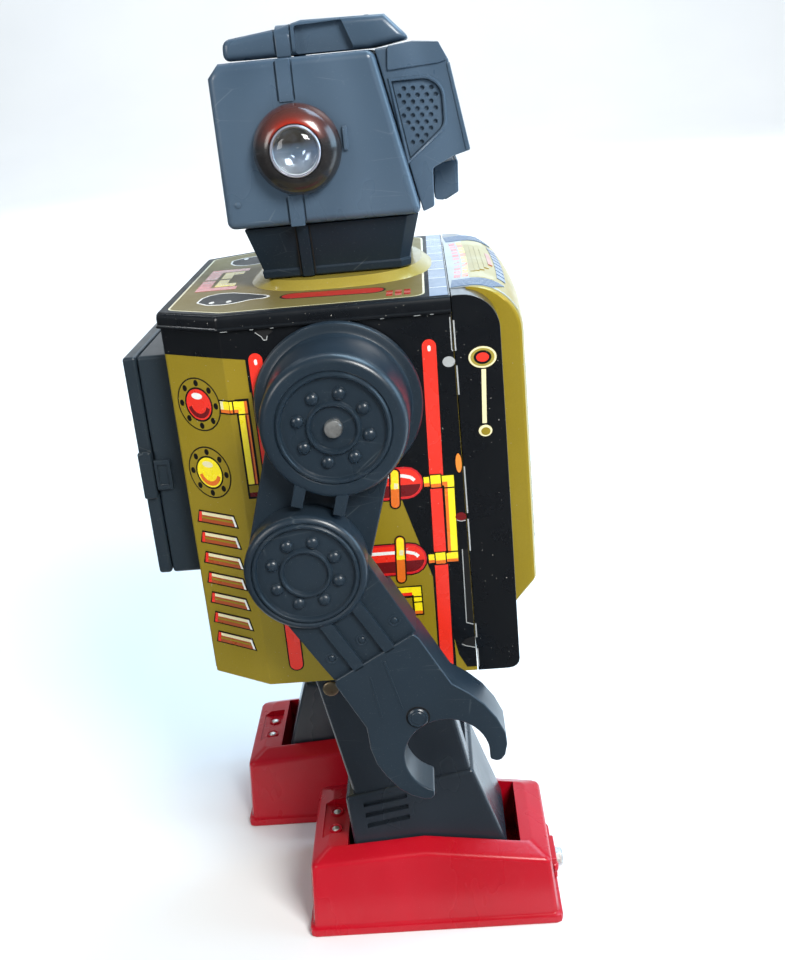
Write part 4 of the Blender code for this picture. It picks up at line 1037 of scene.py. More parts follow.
def relief_print():
    """Generic instruments on the chest's front, in (x, z)."""
    sheet = Print(lambda u, v, h: (u, CHEST_FRONT - relief_depth(u) - h, v))

    def panel(x0, x1, z0, z1, colour, level, radius):
        """A panel with cut corners, made of strips so that it follows the bulge."""
        steps = max(1, int((x1 - x0) / 6))
        for i in range(steps):
            a = x0 + (x1 - x0) * i / steps
            b = x0 + (x1 - x0) * (i + 1) / steps
            drop_a = radius if i == 0 else 0.0
            drop_b = radius if i == steps - 1 else 0.0
            lower = [(a, z0 + drop_a), (a + drop_a, z0), (b - drop_b, z0), (b, z0 + drop_b)]
            upper = [(b, z1 - drop_b), (b - drop_b, z1), (a + drop_a, z1), (a, z1 - drop_a)]
            shape = lower + upper
            sheet.ink([p for k, p in enumerate(shape) if p != shape[k - 1]], colour, level)

    panel(-39, 39, 128, 190, LINE, 0, 4.0)
    panel(-38.3, 38.3, 128.7, 189.3, TIN_BLACK, 1, 3.8)
    panel(-35, 35, 160.5, 186.5, GOLD, 2, 2.5)
    for x in (-23.5, 23.5):
        dial = (x, 173.5)
        sheet.disc(dial, 10.2, 10.2, LINE, 3)
        sheet.disc(dial, 9.7, 9.7, CREAM, 4)
        for i in range(12):
            sheet.strip(polar(dial, 7.2, 30 * i), polar(dial, 8.9, 30 * i), 0.6, LINE, 5)
        sheet.disc(dial, 5.6, 5.6, LINE, 5)
        sheet.disc(dial, 5.1, 5.1, RED, 6)
        sheet.ink(arc(dial, 4.6, 195, 345, 14) + arc((x, 173.7), 3.3, 345, 195, 14), MAROON, 7)
        sheet.ink(ellipse((x + 0.3, 176.2), 2.0, 0.9), WHITE, 7)
    for i in range(3):
        for j in range(4):
            x, z = -7.2 + 5.0 * i, 165.2 + 4.9 * j
            button = rect(x, x + 3.6, z, z + 3.4)
            sheet.ink(grown(button, 0.3), LINE, 3)
            sheet.ink(button, (RED, YELLOW, BLUE, CREAM)[(i * 2 + j) % 4], 4)
    for i in range(6):
        z = 154.8 - 4.3 * i
        for a, b in ((-33, -22), (-21.4, -10)):
            sheet.bars((a, b, z - 2.6, z, GOLD_PALE, 2), (a, b, z - 2.6, z - 1.6, BROWN, 3))
    for x, colour in ((0.0, RED), (9.0, YELLOW), (18.0, RED), (27.0, YELLOW)):
        sheet.capsule((x, 134.5), (x, 153.0), 2.3, GOLD_PALE, 2)
        sheet.capsule((x, 134.5), (x, 153.0), 1.9, LINE, 3)
        sheet.capsule((x, 134.8), (x, 141.0), 1.3, colour, 4)
    return sheet


def chest_top_print():
    """Worn printed squares over the chest's rounded top, laid on a pale grey-blue ground that is painted
    reflection on the glossy black.
    """
    run, fall = 0.2443, 0.0122  # behind the bend, a degree is as long as on it, and the top falls slightly

    def place(u, v, h):
        """v runs forward in degrees over the relief's round top edge, from 0 at the top."""
        y, z = CHEST_FRONT - relief_depth(u) + CHEST_R, CHEST_TOP - CHEST_R
        if v < 0:
            return (u, y - v * run, CHEST_TOP + h + v * fall)
        a = math.radians(90 + v)
        return (u, y + (CHEST_R + h) * math.cos(a), z + (CHEST_R + h) * math.sin(a))

    sheet = Print(place)

    def wrap(x0, x1, v0, v1, colour, level=0):
        """A patch that follows the curve in short steps."""
        cuts = [v0] + [v for v in range(-24, 96, 8) if v0 < v < v1] + [v1]
        for low, high in zip(cuts, cuts[1:]):
            sheet.ink(rect(x0, x1, low, high), colour, level)

    # painted reflection: a pale grey-blue ground over the glossy black top
    wrap(-44.5, 44.5, -24, 64, PAINTED_HAZE)
    wrap(-33, 33, -22, 27, GOLD_PALE, 1)
    for i in range(11):
        x = -31.0 + 5.7 * i
        wrap(x, x + 3.8, -21, -13, PINK if i % 2 else CRIMSON, 2)
        wrap(x, x + 4.6, -11, -4, YELLOW if i % 3 else ORANGE, 2)
    for v0, half in ((-2, 24), (4, 23), (10, 21), (16, 17), (22, 10)):
        wrap(-half, half, v0, v0 + 5.9, BROWN if v0 == 22 else GOLD, 2)
    for i in range(9):
        x = -27.5 + 6.2 * i
        wrap(x, x + 5.0, 31, 43, BLUE, 1)
    for side in SIDES:
        for i in range(6):
            wrap(*span(side, 34.2 + 1.75 * i, 35.2 + 1.75 * i), -23, 40 - 3 * i, BLUE, 1)
    return sheet


# ---------------------------------------------------------------- battery box and switch


def hinge_knuckle(y, low):
    """A barrel of the battery box's hinge and its web, 6 mm tall; y is the web's range."""
    high = low + 6
    barrel = lathe("Z", (38.0, 54.15), [(1.7, low), (2.0, low + 0.3), (2.0, high - 0.3), (1.7, high)], 24)
    web = box((35.2, 38.0), y, (low, high), 0.2, 1)
    return [(barrel, BOX_PLASTIC), (web, BOX_PLASTIC)]


def make_battery_box():
    (front, case_rear), (low, high) = CASE[1:]
    left, right, wall = -36.0, 36.0, 1.3
    case = box((left, right), CASE[1], CASE[2], 1.1, 3)
    hollow = box((left + wall, right - wall), (front + wall, case_rear + 5), (low + wall, high - wall))
    catch = box((left - 1.2, left + 1), (51.2, case_rear), (157.0, 166.5), 0.35)
    catch_hole = box((left - 3, left - 0.6), (52.2, case_rear - 0.9), (158.4, 165.1), 0.2, 1)
    shells = [(cut(case, [hollow]), BOX_PLASTIC), (cut(catch, [catch_hole]), BOX_PLASTIC)]
    for z in (145.4, 177.4):
        shells += hinge_knuckle((52.15, case_rear), z)
    piece("battery_case_shell", "torso", shells, ["battery_case"])

    seam, rear = case_rear + 0.3, DOOR[1][1]
    door = box((left, right), (seam, rear), CASE[2], 1.0, 3)
    inside_door = box((left + wall, right - wall), (seam - 5, rear - wall), (low + wall, high - wall))
    clip = box((left - 1.8, left + 1), (seam, rear), (154.5, 169.4), 0.7, 3)
    nub = box((left - 1.75, left - 0.9), (seam + 0.5, rear - 1.6), (168.0, 169.7), 0.3)
    shells = [(cut(door, [inside_door]), BOX_PLASTIC), (clip, BOX_PLASTIC), (nub, BOX_PLASTIC)]
    for z in (138.0, 184.0):
        shells += hinge_knuckle((seam, 56.15), z)
    for i in range(6):
        z = 140.0 + 9.4 * i
        shells.append((box((-28, 28), (rear - 0.7, rear - 0.02), (z, z + 1.6), 0.3, 1), BOX_PLASTIC))
    piece("battery_door_shell", "battery_door", shells, ["battery_door"])

    (x0, x1), (_, rear), (low, high) = node_box("switch_lever")
    middle = (x0 + x1) / 2
    knob = box((x0, x1), (TORSO_REAR + 0.3, rear), (low, high), 0.6, 3)
    stem = box((middle - 1.5, middle + 1.5), (TORSO_REAR - 3.8, TORSO_REAR + 1), (111.5, 114.5))
    shells = [(knob, RED_PLASTIC), (stem, RED_PLASTIC)]
    for x in (middle - 1.8, middle, middle + 1.8):
        grip = box((x - 0.35, x + 0.35), (rear - 0.4, rear + 0.25), (low + 0.8, high - 0.8), 0.15, 1)
        shells.append((grip, RED_PLASTIC))
    piece("switch_knob", "switch", shells, ["switch_lever"])


# ---------------------------------------------------------------- neck and head


def make_neck():
    def ring(half, front, rear, z, chamfer):
        right = [(half - chamfer, front, z), (half, front + chamfer, z)]
        return [(half, rear, z), (-half, rear, z)] + [(-x, y, z) for x, y, z in right[::-1]] + right

    low, high = NECK[2]
    levels = [
        (21.7, -25.6, 17.4, low, 2.9),
        (22.3, -26.0, 17.7, low + 0.4, 2.9),
        (22.6, -26.2, 17.9, low + 2.3, 2.9),
        (22.2, -25.8, 17.6, low + 2.7, 2.9),
        (26.4, -29.2, 20.8, high - 0.8, 3.4),
        (26.6, -29.4, 21.0, high, 3.4),
    ]
    shells = [(soften(loft([ring(*level) for level in levels]), 0.55, 2, 20), NECK_PLASTIC)]

    def leaning(side, profile, bottom, top):
        """A strip up the neck's leaning side; bottom and top are (x, z) of its root."""
        return loft([[(side * (x + out), y, z) for out, y in profile] for x, z in (bottom, top)])

    strap = ((0, 6.1), (1.2, 5.9), (1.2, 2.7), (0, 2.5))
    for side in SIDES:
        shell = leaning(side, strap, (22.0, low + 0.1), (26.2, high - 0.05))
        shells.append((soften(shell, 0.25, 2, 40), NECK_PLASTIC))
        # painted shade: thin dark strips along each strap's edges stand in for the shaded grooves there
        for y in (6.35, 2.25):
            groove = ((-0.3, y + 0.25), (0.5, y + 0.22), (0.5, y - 0.22), (-0.3, y - 0.25))
            shells.append((leaning(side, groove, (22.2, low + 0.6), (26.1, high - 0.05)), PAINTED_SHADE))
    piece("neck_block", "torso", shells, ["neck"])


def make_head():
    half, (front, rear), (low, top) = HEAD[0][1], HEAD[1], HEAD[2]
    side_view = [(front, low), (rear, low), (rear, top - 3.6), (rear - 3.2, top), (front + 9.9, top)]
    block = soften(prism("X", side_view, -half, half), 2.3, 5, 50)
    pockets = []
    seams = ((1.65, 265.0, 277.0), (6.2, 265.0, 277.0), (2.25, 231.0, 239.0), (7.05, 231.0, 239.0))
    for side in SIDES:
        pockets.append(lathe("X", LENS, [(9.8, side * (half - 12)), (9.8, side * (half + 4))], 48))
        for y, z0, z1 in seams:
            pockets.append(box(span(side, half - 0.7, half + 2), (y, y + 0.45), (z0, z1)))
    piece("head_block", "torso", [(cut(block, pockets), HEAD_PLASTIC)], ["head_shell"], 34)

    # straps, catches and a small screw on the side plates
    trim = []
    for side in SIDES:
        x = span(side, half - 0.6, half + 0.45)
        catch_x = span(side, half - 0.5, half + 1.0)
        screw = outward(side, (0.9, half - 0.3), (0.9, half + 0.25), (0.5, half + 0.4))
        trim += [
            box(x, (2.2, 6.1), (264.6, top - 0.2), 0.3),
            box(x, (2.8, 6.95), (low - 0.3, 239.6), 0.3),
            box(catch_x, (-11.6, -10.3), (250.6, 257.0), 0.25),
            lathe("X", (21.2, 238.2), screw, 16),
        ]
    piece("head_straps", "torso", [(shell, HEAD_PLASTIC) for shell in trim])
    make_crown()
    make_face()
    for side in SIDES:
        make_lamp(side)


def make_crown():
    low = HEAD[2][1] + 0.3
    side_view = [(21.2, low), (20.9, 281.9), (5.8, 283.6), (-1.4, CROWN_TOP - 0.1)]
    side_view += [(-24.4, CROWN_TOP - 0.6), (-31.0, 278.0), (-20.0, low)]
    block = soften(prism("X", side_view, -24.0, 24.0), 2.0, 4, 55)
    recess = rounded([(0.6, 276.6), (0.6, 284.0), (-12.6, 284.4), (-15.2, 277.6), (-15.2, 276.6)], 0.8, 3)
    seams = [(y - 0.22, y + 0.22) for y in (1.75, 6.35)]
    cutters = []
    for side in SIDES:
        cutters.append(prism("X", recess, *span(side, 21.8, 30)))
        cutters += [box(span(side, 23.3, 26), seam, (270, 290)) for seam in seams]
    cutters += [box((-24.5, 24.5), seam, (283.0, 290)) for seam in seams]
    piece("crown_block", "torso", [(cut(block, cutters), HEAD_PLASTIC)], ["crown"], 34)

    over = [(24.4, low), (24.4, 280.9), (23.7, 282.8), (22.2, 284.0), (20.2, 284.5)]
    over += [(-x, z) for x, z in over[::-1]]
    under = [(x * 0.93, z - 1.3) for x, z in over]
    strap = loft([[(x, y, z) for x, z in over + under[::-1]] for y in (2.1, 6.0)])
    trim = [(soften(strap, 0.3, 2, 40), HEAD_PLASTIC)]
    for y in (-20.0, -15.0):
        trim.append((box((-15, 15), (y, y + 1.6), (284.0, CROWN_TOP - 0.15), 0.3), HEAD_PLASTIC))
    piece("crown_straps", "torso", trim)


def grille_outline(inset):
    front = arc((-33.0, 261.6), 5.6 - inset, 90, 180, 8)
    lower = arc((-34.5, 256.2), 4.1 - inset, 180, 235, 4)
    return [(-24.9 - inset, 267.2 - inset)] + front + lower + [(-28.3 - 0.8 * inset, 246.2 + 1.6 * inset)]


def inside(outline, u, v):
    hit = False
    for (au, av), (bu, bv) in zip(outline, outline[1:] + outline[:1]):
        if (av > v) != (bv > v) and u < (bu - au) * (v - av) / (bv - av) + au:
            hit = not hit
    return hit


def tapered(bm):
    """The face narrows towards its front."""
    for vert in bm.verts:
        vert.co.x *= 1 - 0.0075 * max(0.0, -24.0 - vert.co.y)
    return bm


def make_face():
    side_view = [(-21.0, HEAD[2][1]), (-31.0, 276.9), (-38.6, 276.2), (-41.0, 271.6), (-45.6, 246.9)]
    side_view += [(-40.6, 245.7), (-34.6, 243.0), (-34.2, 232.4), (-30.9, HEAD[2][0])]
    side_view = rounded(side_view, [0, 1.0, 1.8, 1.2, 0.5, 0.8, 1.0, 0.8, 0], 3)
    block = soften(prism("X", side_view, -FACE_X, FACE_X), 0.9, 3, 50)
    hollows = [prism("X", grille_outline(0.0), *span(side, FACE_X - 2.0, FACE_X + 3)) for side in SIDES]
    eye_slot = [(-46.5, 250.0), (-43.3, 268.0), (-36.0, 266.5), (-38.6, 250.5)]
    block = tapered(cut(block, hollows + [prism("X", eye_slot, -19.0, 19.0)]))
    piece("face_block", "torso", [(block, HEAD_PLASTIC)], ["face"], 34)

    band = [(-24.0, 270.2), (-24.6, 276.5), (-31.4, 277.2), (-38.5, 276.5), (-40.9, 271.6), (-38.2, 270.9)]
    rim = [(-40.4, 270.6), (-41.3, 270.9), (-45.5, 247.2), (-44.3, 247.0)]
    lip = ((-1.1, -0.5), (-0.95, 0.1), (-0.6, 0.4), (-0.2, 0.25), (-0.02, -0.5))
    trim = []
    for side in SIDES:
        trim.append(prism("X", rounded(band, 0.5, 2), *span(side, FACE_X - 1.0, FACE_X + 0.75), 0.3))
        trim.append(prism("X", rim, *span(side, FACE_X - 1.0, FACE_X + 0.5), 0.25))
        rings = [(side * (FACE_X + out), grille_outline(inset)) for inset, out in lip]
        trim.append(loft([[(x, u, v) for u, v in outline] for x, outline in rings], True))
    piece("face_trim", "torso", [(tapered(shell), HEAD_PLASTIC) for shell in trim])

    # eye slot: a red window behind the visor's bars
    window = prism("X", [(-41.2, 251.0), (-39.4, 265.0), (-38.0, 265.0), (-40.0, 251.0)], -18.6, 18.6, 0.3)
    piece("eye_window", "torso", [(window, CRIMSON)])
    bar = [(-44.4, 250.2), (-41.8, 267.0), (-40.8, 266.8), (-43.4, 250.2)]
    bars = [prism("X", bar, i * 6.4 - 0.7, i * 6.4 + 0.7, 0.2, 1) for i in range(-2, 3)]
    piece("eye_bars", "torso", [(shell, HEAD_PLASTIC) for shell in bars])
    for side in SIDES:
        make_cheek_mesh(side)

    mouth_view = [(-34.9, 242.6), (-41.4, 243.8), (-41.2, 234.6), (-37.0, 232.4), (-34.5, 232.8)]
    mouth = [prism("X", rounded(mouth_view, 0.8, 2), -12.6, 12.6, 0.5)]
    rib = [(-40.6, 243.6), (-42.1, 243.3), (-41.7, 234.4), (-37.6, 232.3), (-37.0, 233.0), (-40.4, 235.2)]
    mouth += [prism("X", rib, i * 2.3 - 0.55, i * 2.3 + 0.55, 0.25, 1) for i in range(-5, 6)]
    piece(
        "mouth_ribs", "torso", [(shell, HEAD_PLASTIC) for shell in mouth], ["mouth_grille"]
    )


def make_cheek_mesh(side):
    """The plate behind the cheek's rim, with its staggered small holes."""
    x0, x1 = span(side, FACE_X - 2.2, FACE_X - 1.1)
    clear = grille_outline(1.1)
    holes = bmesh.new()
    for row in range(-7, 8):
        for column in range(-6, 7):
            u = -32.6 + 2.55 * column + (1.28 if row % 2 else 0.0) - 0.16 * row
            v = 257.6 + 1.8 * row + 0.12 * column
            if inside(clear, u, v):
                join(holes, lathe("X", (u, v), [(0.66, x0 - 0.5), (0.66, x1 + 0.5)], 12))
    plate = tapered(cut(prism("X", grille_outline(0.25), x0, x1), [holes]))
    name = side_name(side)
    piece(f"cheek_mesh_{name}", "torso", [(plate, HEAD_PLASTIC)], [f"cheek_grille_{name}"])


def make_lamp(side):
    """Profiles are (radius, height above the head's side)."""
    name = side_name(side)
    face = HEAD[0][1] + 0.3

    def at(*pairs):
        return outward(side, *((r, face + w) for r, w in pairs))

    dome_line = at(
        (6.95, 0.9), (8.5, 0.02), (12.35, 0.0), (LENS_R, 0.8), (12.2, 2.0), (11.7, 3.3), (10.9, 4.5),
        (9.8, 5.6), (8.6, 6.35), (7.75, 6.75), (7.35, 6.75), (7.15, 6.4), (6.95, 5.0),
    )
    dome_shell = lathe("X", LENS, dome_line, 80, True)
    piece(f"lamp_lens_{name}", "torso", [(dome_shell, LENS_RED)], [f"lens_{name}"])
    rim_line = at((6.9, 5.0), (7.0, 6.5), (7.0, 6.95), (6.8, 7.2), (6.6, 7.2), (6.4, 6.9), (6.3, 5.0))
    rim = lathe("X", LENS, rim_line, 64, True)
    bowl_line = at(
        (6.6, 1.2), (6.6, 5.9), (6.2, 6.0), (5.6, 4.7), (4.6, 3.5), (3.3, 2.7), (1.8, 2.35), (0.02, 2.3)
    )
    bowl = lathe("X", LENS, bowl_line, 64)
    piece(f"lamp_mirror_{name}", "torso", [(rim, RIM), (bowl, BOWL)], [f"reflector_{name}"])
    glass_line = at(
        (6.15, 4.95), (6.15, 5.6), (5.6, 6.2), (4.6, 6.75), (3.2, 7.15), (1.6, 7.35), (0.02, 7.4)
    )
    glass = lathe("X", LENS, glass_line, 56)
    bulb = dome("X", LENS, 1.7, side * (face + 2.6), side * 2.0, 24, 6)
    piece(f"lamp_glass_{name}", "torso", [(glass, GLASS), (bulb, GLASS)], [f"bulb_{name}"])


# ---------------------------------------------------------------- arms


def studs(centre, radius, base, height, start, side):
    """Eight round-topped studs in a ring."""
    spots = [polar(centre, radius, start + 45 * i) for i in range(8)]
    return [(dome("X", spot, 1.8, side * base, side * height), BLACK) for spot in spots]


def make_upper_arm(side):
    name = side_name(side)
    drum_line = outward(
        side,
        (23.1, 55.4), (23.5, 55.8), (23.5, 57.0), (23.1, 57.6), (22.3, 57.9), (21.5, 57.95), (20.7, 58.3),
        (20.3, 59.2), (20.0, 61.0), (19.8, 74.6), (19.6, 76.2), (19.1, 77.4), (18.3, 78.0), (17.6, 78.15),
        (15.7, 78.2), (15.35, 77.85), (15.15, 78.3), (14.75, 78.72), (14.3, 78.75), (13.9, 78.35),
        (13.7, 77.5), (13.3, 77.3), (7.45, 77.3), (7.2, 77.9), (6.85, 78.3), (6.4, 78.3), (6.05, 77.9),
        (5.8, 77.1), (2.7, 77.05),
    )
    lean = math.atan2(ELBOW[0] - SHOULDER[0], SHOULDER[1] - ELBOW[1])
    length = math.dist(SHOULDER, ELBOW)

    def leaned(pairs):
        """(across, down the arm) pairs as (y, z)."""
        return rotated([(SHOULDER[0] + u, SHOULDER[1] - down) for u, down in pairs], SHOULDER, lean)

    half = 17.0
    turns = [math.radians(a) for a in range(0, -181, -12)]
    round_end = [(-half * math.cos(a), length - half * math.sin(a)) for a in turns]
    plate_view = leaned([(-half, 2.0)] + round_end + [(half, 2.0)])
    plate = prism("X", plate_view, *span(side, 60.0, 70.4), 0.7, 3)
    shells = [(lathe("X", SHOULDER, drum_line, 96), BLACK), (plate, BLACK)]
    for across in (-5.7, 5.7):
        rib = [(across - 1.75, 16.0), (across + 1.75, 16.0)]
        rib += [(across + 1.6, length - 17.6), (across - 1.6, length - 17.6)]
        shells.append((prism("X", leaned(rib), *span(side, 69.8, 77.6), 0.4), BLACK))
    shells += studs(SHOULDER, 9.55, 77.3, 1.4, 15, side)
    upper_arm = f"{name}_upper_arm"
    piece(f"upper_arm_shell_{name}", upper_arm, shells, [f"upper_arm_{name}"], 34)
    pin = lathe("X", SHOULDER, outward(side, (2.45, 76.0), (2.45, 78.5), (2.2, 78.9), (1.0, 78.95)), 32)
    shaft = lathe("X", SHOULDER, outward(side, (2.5, 44.0), (2.5, 54.0)), 24)
    shells = [(pin, STEEL), (shaft, STEEL)]
    piece(f"shoulder_rivet_{name}", "torso", shells, [f"shoulder_pin_{name}"])


def forearm_at(pairs):
    """(reach down the forearm, across it towards the front) pairs as (y, z)."""
    (y, z), sin, cos = ELBOW, math.sin(FOREARM_LEAN), math.cos(FOREARM_LEAN)
    return [(y - s * sin - t * cos, z - s * cos + t * sin) for s, t in pairs]


def make_forearm(side):
    name = side_name(side)
    disc_line = outward(
        side,
        (16.6, 70.7), (16.9, 71.1), (16.95, 78.6), (16.7, 79.5), (16.1, 80.1), (15.4, 80.3), (14.95, 80.1),
        (14.75, 79.7), (14.55, 80.15), (14.2, 80.45), (13.75, 80.45), (13.4, 80.05), (13.2, 79.2),
        (12.8, 79.05), (7.4, 79.05), (7.15, 79.6), (6.8, 80.05), (6.35, 80.05), (6.0, 79.6), (5.8, 78.9),
        (5.4, 78.8), (0.02, 78.8),
    )
    low, panel, high = 67.2, 78.2, 79.6
    full_x = span(side, low, panel)
    neck_near = [(2.0, -14.3), (17.9, -13.9), (17.9, 15.0), (2.0, 15.4)]
    neck_far = [(17.5, -13.9), (26.2, -13.7), (32.0, -13.4), (32.0, 14.6), (17.5, 15.0)]
    gap = [polar((69.9, -0.3), 12.3, a) for a in range(52, 309, 8)]
    palm = [
        (31.4, -12.6), (33.0, -13.6), (49.0, -14.3), (52.0, -15.6), (55.5, -17.4), (60.5, -18.7),
        (65.5, -18.9), (71.4, -18.1), (75.4, -16.4), (78.4, -14.0), (79.4, -12.2), (79.1, -10.9),
    ]
    palm += gap[::-1]
    palm += [
        (79.1, 10.6), (79.5, 12.0), (78.7, 13.8), (76.0, 16.2), (72.6, 17.8), (67.0, 18.4),
        (61.2, 17.9), (55.8, 16.3), (50.6, 13.9), (33.5, 14.3), (31.4, 13.6),
    ]
    shells = [
        lathe("X", ELBOW, disc_line, 96),
        prism("X", forearm_at(neck_near), *span(side, 70.7, panel), 0.5),
        prism("X", forearm_at(neck_far), *full_x, 0.5),
        prism("X", forearm_at(palm), *span(side, low, high), 0.55, 3, 35),
    ]
    for t0, t1 in ((3.8, 7.3), (-6.6, -3.1)):
        rib = forearm_at([(14.0, t0), (32.5, t0), (32.5, t1), (14.0, t1)])
        shells.append(prism("X", rib, *span(side, panel - 1.0, high), 0.3))
    ring = ((1.75, -0.4), (1.75, 0.12), (1.45, 0.22), (1.15, 0.1), (1.05, -0.05), (0.7, 0.35), (0.02, 0.5))
    ring_line = outward(side, *((r, panel + w) for r, w in ring))
    for t in (11.4, 0.5, -9.9):
        shells.append(lathe("X", forearm_at([(25.7, t)])[0], ring_line, 24))
    for facet in (
        [(48.5, -9.0), (36.0, -4.2), (36.0, -3.6), (48.5, -8.2)],
        [(34.0, 2.6), (50.0, -2.0), (50.0, -2.6), (34.0, 1.8)],
    ):
        shells.append(prism("X", forearm_at(facet), *span(side, high - 0.5, high + 0.12), 0.08, 1))
    shells = [(shell, BLACK) for shell in shells] + studs(ELBOW, 9.3, 79.05, 1.35, 18, side)
    piece(f"forearm_shell_{name}", f"{name}_forearm", shells, [f"forearm_{name}"], 34)

    spot = forearm_at([(54.2, 0.0)])[0]
    cap = ((2.95, -0.5), (2.95, 0.55), (2.6, 0.85), (2.1, 0.75), (1.9, 0.95), (0.02, 1.05))
    # painted shade: a flat dark disc just wider than the cap stands in for the shaded groove around the rivet
    groove = ((3.45, -0.5), (3.45, 0.03), (0.02, 0.03))
    shells = []
    for profile, look in ((cap, BLACK), (groove, PAINTED_SHADE)):
        shells.append((lathe("X", spot, outward(side, *((r, high + w) for r, w in profile)), 32), look))
    piece(f"hand_rivet_cap_{name}", f"{name}_forearm", shells, [f"hand_rivet_{name}"])


# ---------------------------------------------------------------- legs and feet


def make_leg(side):
    name = side_name(side)
    ankle = centre_of(f"ankle_pin_{name}")
    length = math.dist(HIP, ankle)
    lean = math.atan2(ankle[0] - HIP[0], HIP[1] - ankle[1])
    middle = side * LEG_X
    block_half = 15.4

    def leaned(pairs):
        return rotated([(HIP[0] + y, HIP[1] + z) for y, z in pairs], HIP, lean)

    shaft_view = leaned(arc((0, 0), 19.6, 0, 180, 16) + [(-19.9, -56), (19.9, -56)])
    shaft = soften(prism("X", shaft_view, middle - 14.3, middle + 14.3), 1.6, 3, 50)
    flare, toe = -length - 1, -length - 9
    block_view = [(-20.6, -49.8), (-24.8, flare), (-12, toe), (12, toe), (26.6, flare), (22.6, -49.8)]
    block = prism("X", leaned(block_view), middle - block_half, middle + block_half, 1.4, 4, 50)
    slots, channels = [], []
    outer = middle + side * block_half
    for i in range(3):
        z = -53.0 - 4.1 * i
        y0, y1 = 2.5 + 0.6 * i, 17.2 + 0.5 * i
        groove = [(y0, z), (y1, z), (y1 + 0.4, z - 1.8), (y0 + 0.4, z - 1.8)]
        slots.append(prism("X", leaned(groove), *sorted((outer - side * 1.6, outer + side * 3))))
    for way in SIDES:
        y0, y1 = way * 19.9 - way * 1.2, way * 19.9 + way * 3
        channel = leaned([(y0, -8), (y0, -45), (y1, -45), (y1, -8)])
        channels.append(prism("X", channel, middle - 6.5, middle + 6.5))
    shells = [(cut(shaft, channels), LEG_PLASTIC), (cut(block, slots), LEG_PLASTIC)]
    piece(f"leg_shell_{name}", f"{name}_leg", shells, [f"leg_{name}"], 34)

    face = node_box(f"leg_rivet_{name}")[0][1 if side > 0 else 0]
    profile = [(r, face - side * drop) for r, drop in ((2.5, 1.0), (2.5, 0.35), (2.1, 0.05), (0.02, 0.0))]
    cap = lathe("X", leaned([(15.4, -9.5)])[0], profile, 32)
    piece(f"leg_rivet_cap_{name}", f"{name}_leg", [(cap, BRASS)], [f"leg_rivet_{name}"])


def make_foot(side):
    name = side_name(side)
    ankle_y = centre_of(f"ankle_pin_{name}")[0]
    middle = side * LEG_X
    front, rear = ankle_y + 1.45 - 42.5, ankle_y + 1.45 + 42.5
    half = 25.0
    kink = ankle_y + 2.9  # the top slopes down from here to the front and the rear

    def top_at(y):
        if y < kink:
            return 32.2 - 6.2 * (kink - y) / (kink - front)
        return 32.2 - 2.8 * (y - kink) / (rear - kink)

    def ring(inset, z):
        """One level of the foot; below zero, z is measured down from the two slopes of its top."""
        x, f, r = half - inset, front + inset, rear - inset
        corner = 2.2
        c = corner * 0.293
        left = [(x - corner, f), (x - c, f + c), (x, f + corner), (x, kink)]
        left += [(x, r - corner), (x - c, r - c), (x - corner, r)]
        plan = [(-left[0][0], f)] + left + [(-u, v) for u, v in left[:0:-1]]
        return [(middle + u, v, top_at(v) + z if z < 0 else z) for u, v in plan]

    sole = (
        (0.6, 0.0), (0.15, 0.35), (0.05, 0.9), (0.05, 2.2), (0.3, 2.9), (0.9, 3.2), (1.2, 3.5), (1.35, 4.2)
    )
    crown = (
        (2.7, -4.6), (2.85, -3.7), (3.25, -3.05), (3.9, -2.6), (5.0, -2.05), (7.6, -0.75), (8.3, -0.4),
        (9.0, -0.2),
    )
    body = loft([ring(inset, z) for inset, z in sole + crown])
    body.faces.ensure_lookup_table()
    caps = [face for face in body.faces if len(face.verts) > 4]
    cap = max(caps, key=lambda face: face.calc_center_median().z)
    bmesh.ops.connect_verts(body, verts=[v for v in cap.verts if abs(v.co.y - kink) < 0.01])
    slot = box((middle - 16.3, middle + 16.3), (ankle_y - 28.6, ankle_y + 28.6), (8, 50))
    hollow = prism("Z", rect(middle - 22, middle + 22, front + 3, rear - 3), -4, 3.2)
    tab = box((middle - 9.5, middle + 9.5), (ankle_y + 30.0, rear - 6.0), (27.9, 40), 0.4)
    body = cut(body, [slot, hollow, tab])
    shells = [(body, RED_PLASTIC)]
    piece(f"foot_body_{name}", f"{name}_foot", shells, [f"foot_shell_{name}"], 34)

    # rear rivets in their cups, and the toe's fixing
    trim = []
    for way in SIDES:
        spot = (middle + way * 4.6, ankle_y + 33.6)
        cup = lathe("Z", spot, [(2.3, 27.0), (2.3, 28.3), (2.0, 28.5), (1.7, 28.2)], 20)
        trim += [(dome("Z", spot, 1.5, 27.8, 0.9, 16, 4), STEEL), (cup, RED_PLASTIC)]
    toe_z = sum(node_box(f"toe_screw_{name}")[2]) / 2
    for dx, dz in ((-5.2, 0.6), (5.2, -0.6)):
        trim.append((dome("Y", (middle + dx, toe_z + dz), 2.2, front + 0.6, -1.3, 18, 5), RED_PLASTIC))
    lug = box((middle - 6.5, middle + 6.5), (front - 0.1, front + 3.0), (3.2, toe_z + 4.4), 0.5)
    piece(f"foot_trim_{name}", f"{name}_foot", trim + [(lug, RED_PLASTIC)])
    head = node_box(f"toe_screw_{name}")[1][0]
    bolt_line = [(3.3, head + 2.0), (3.3, head - 0.3), (2.7, head - 0.9), (0.02, head - 1.0)]
    bolt = lathe("Y", (middle, toe_z), bolt_line, 6)
    stem = lathe("Y", (middle, toe_z), [(1.3, front + 3.4), (1.3, head + 0.8)], 16)
    shells = [(soften(bolt, 0.15, 1, 30), STEEL), (stem, STEEL)]
    piece(f"toe_bolt_{name}", f"{name}_foot", shells, [f"toe_screw_{name}"])


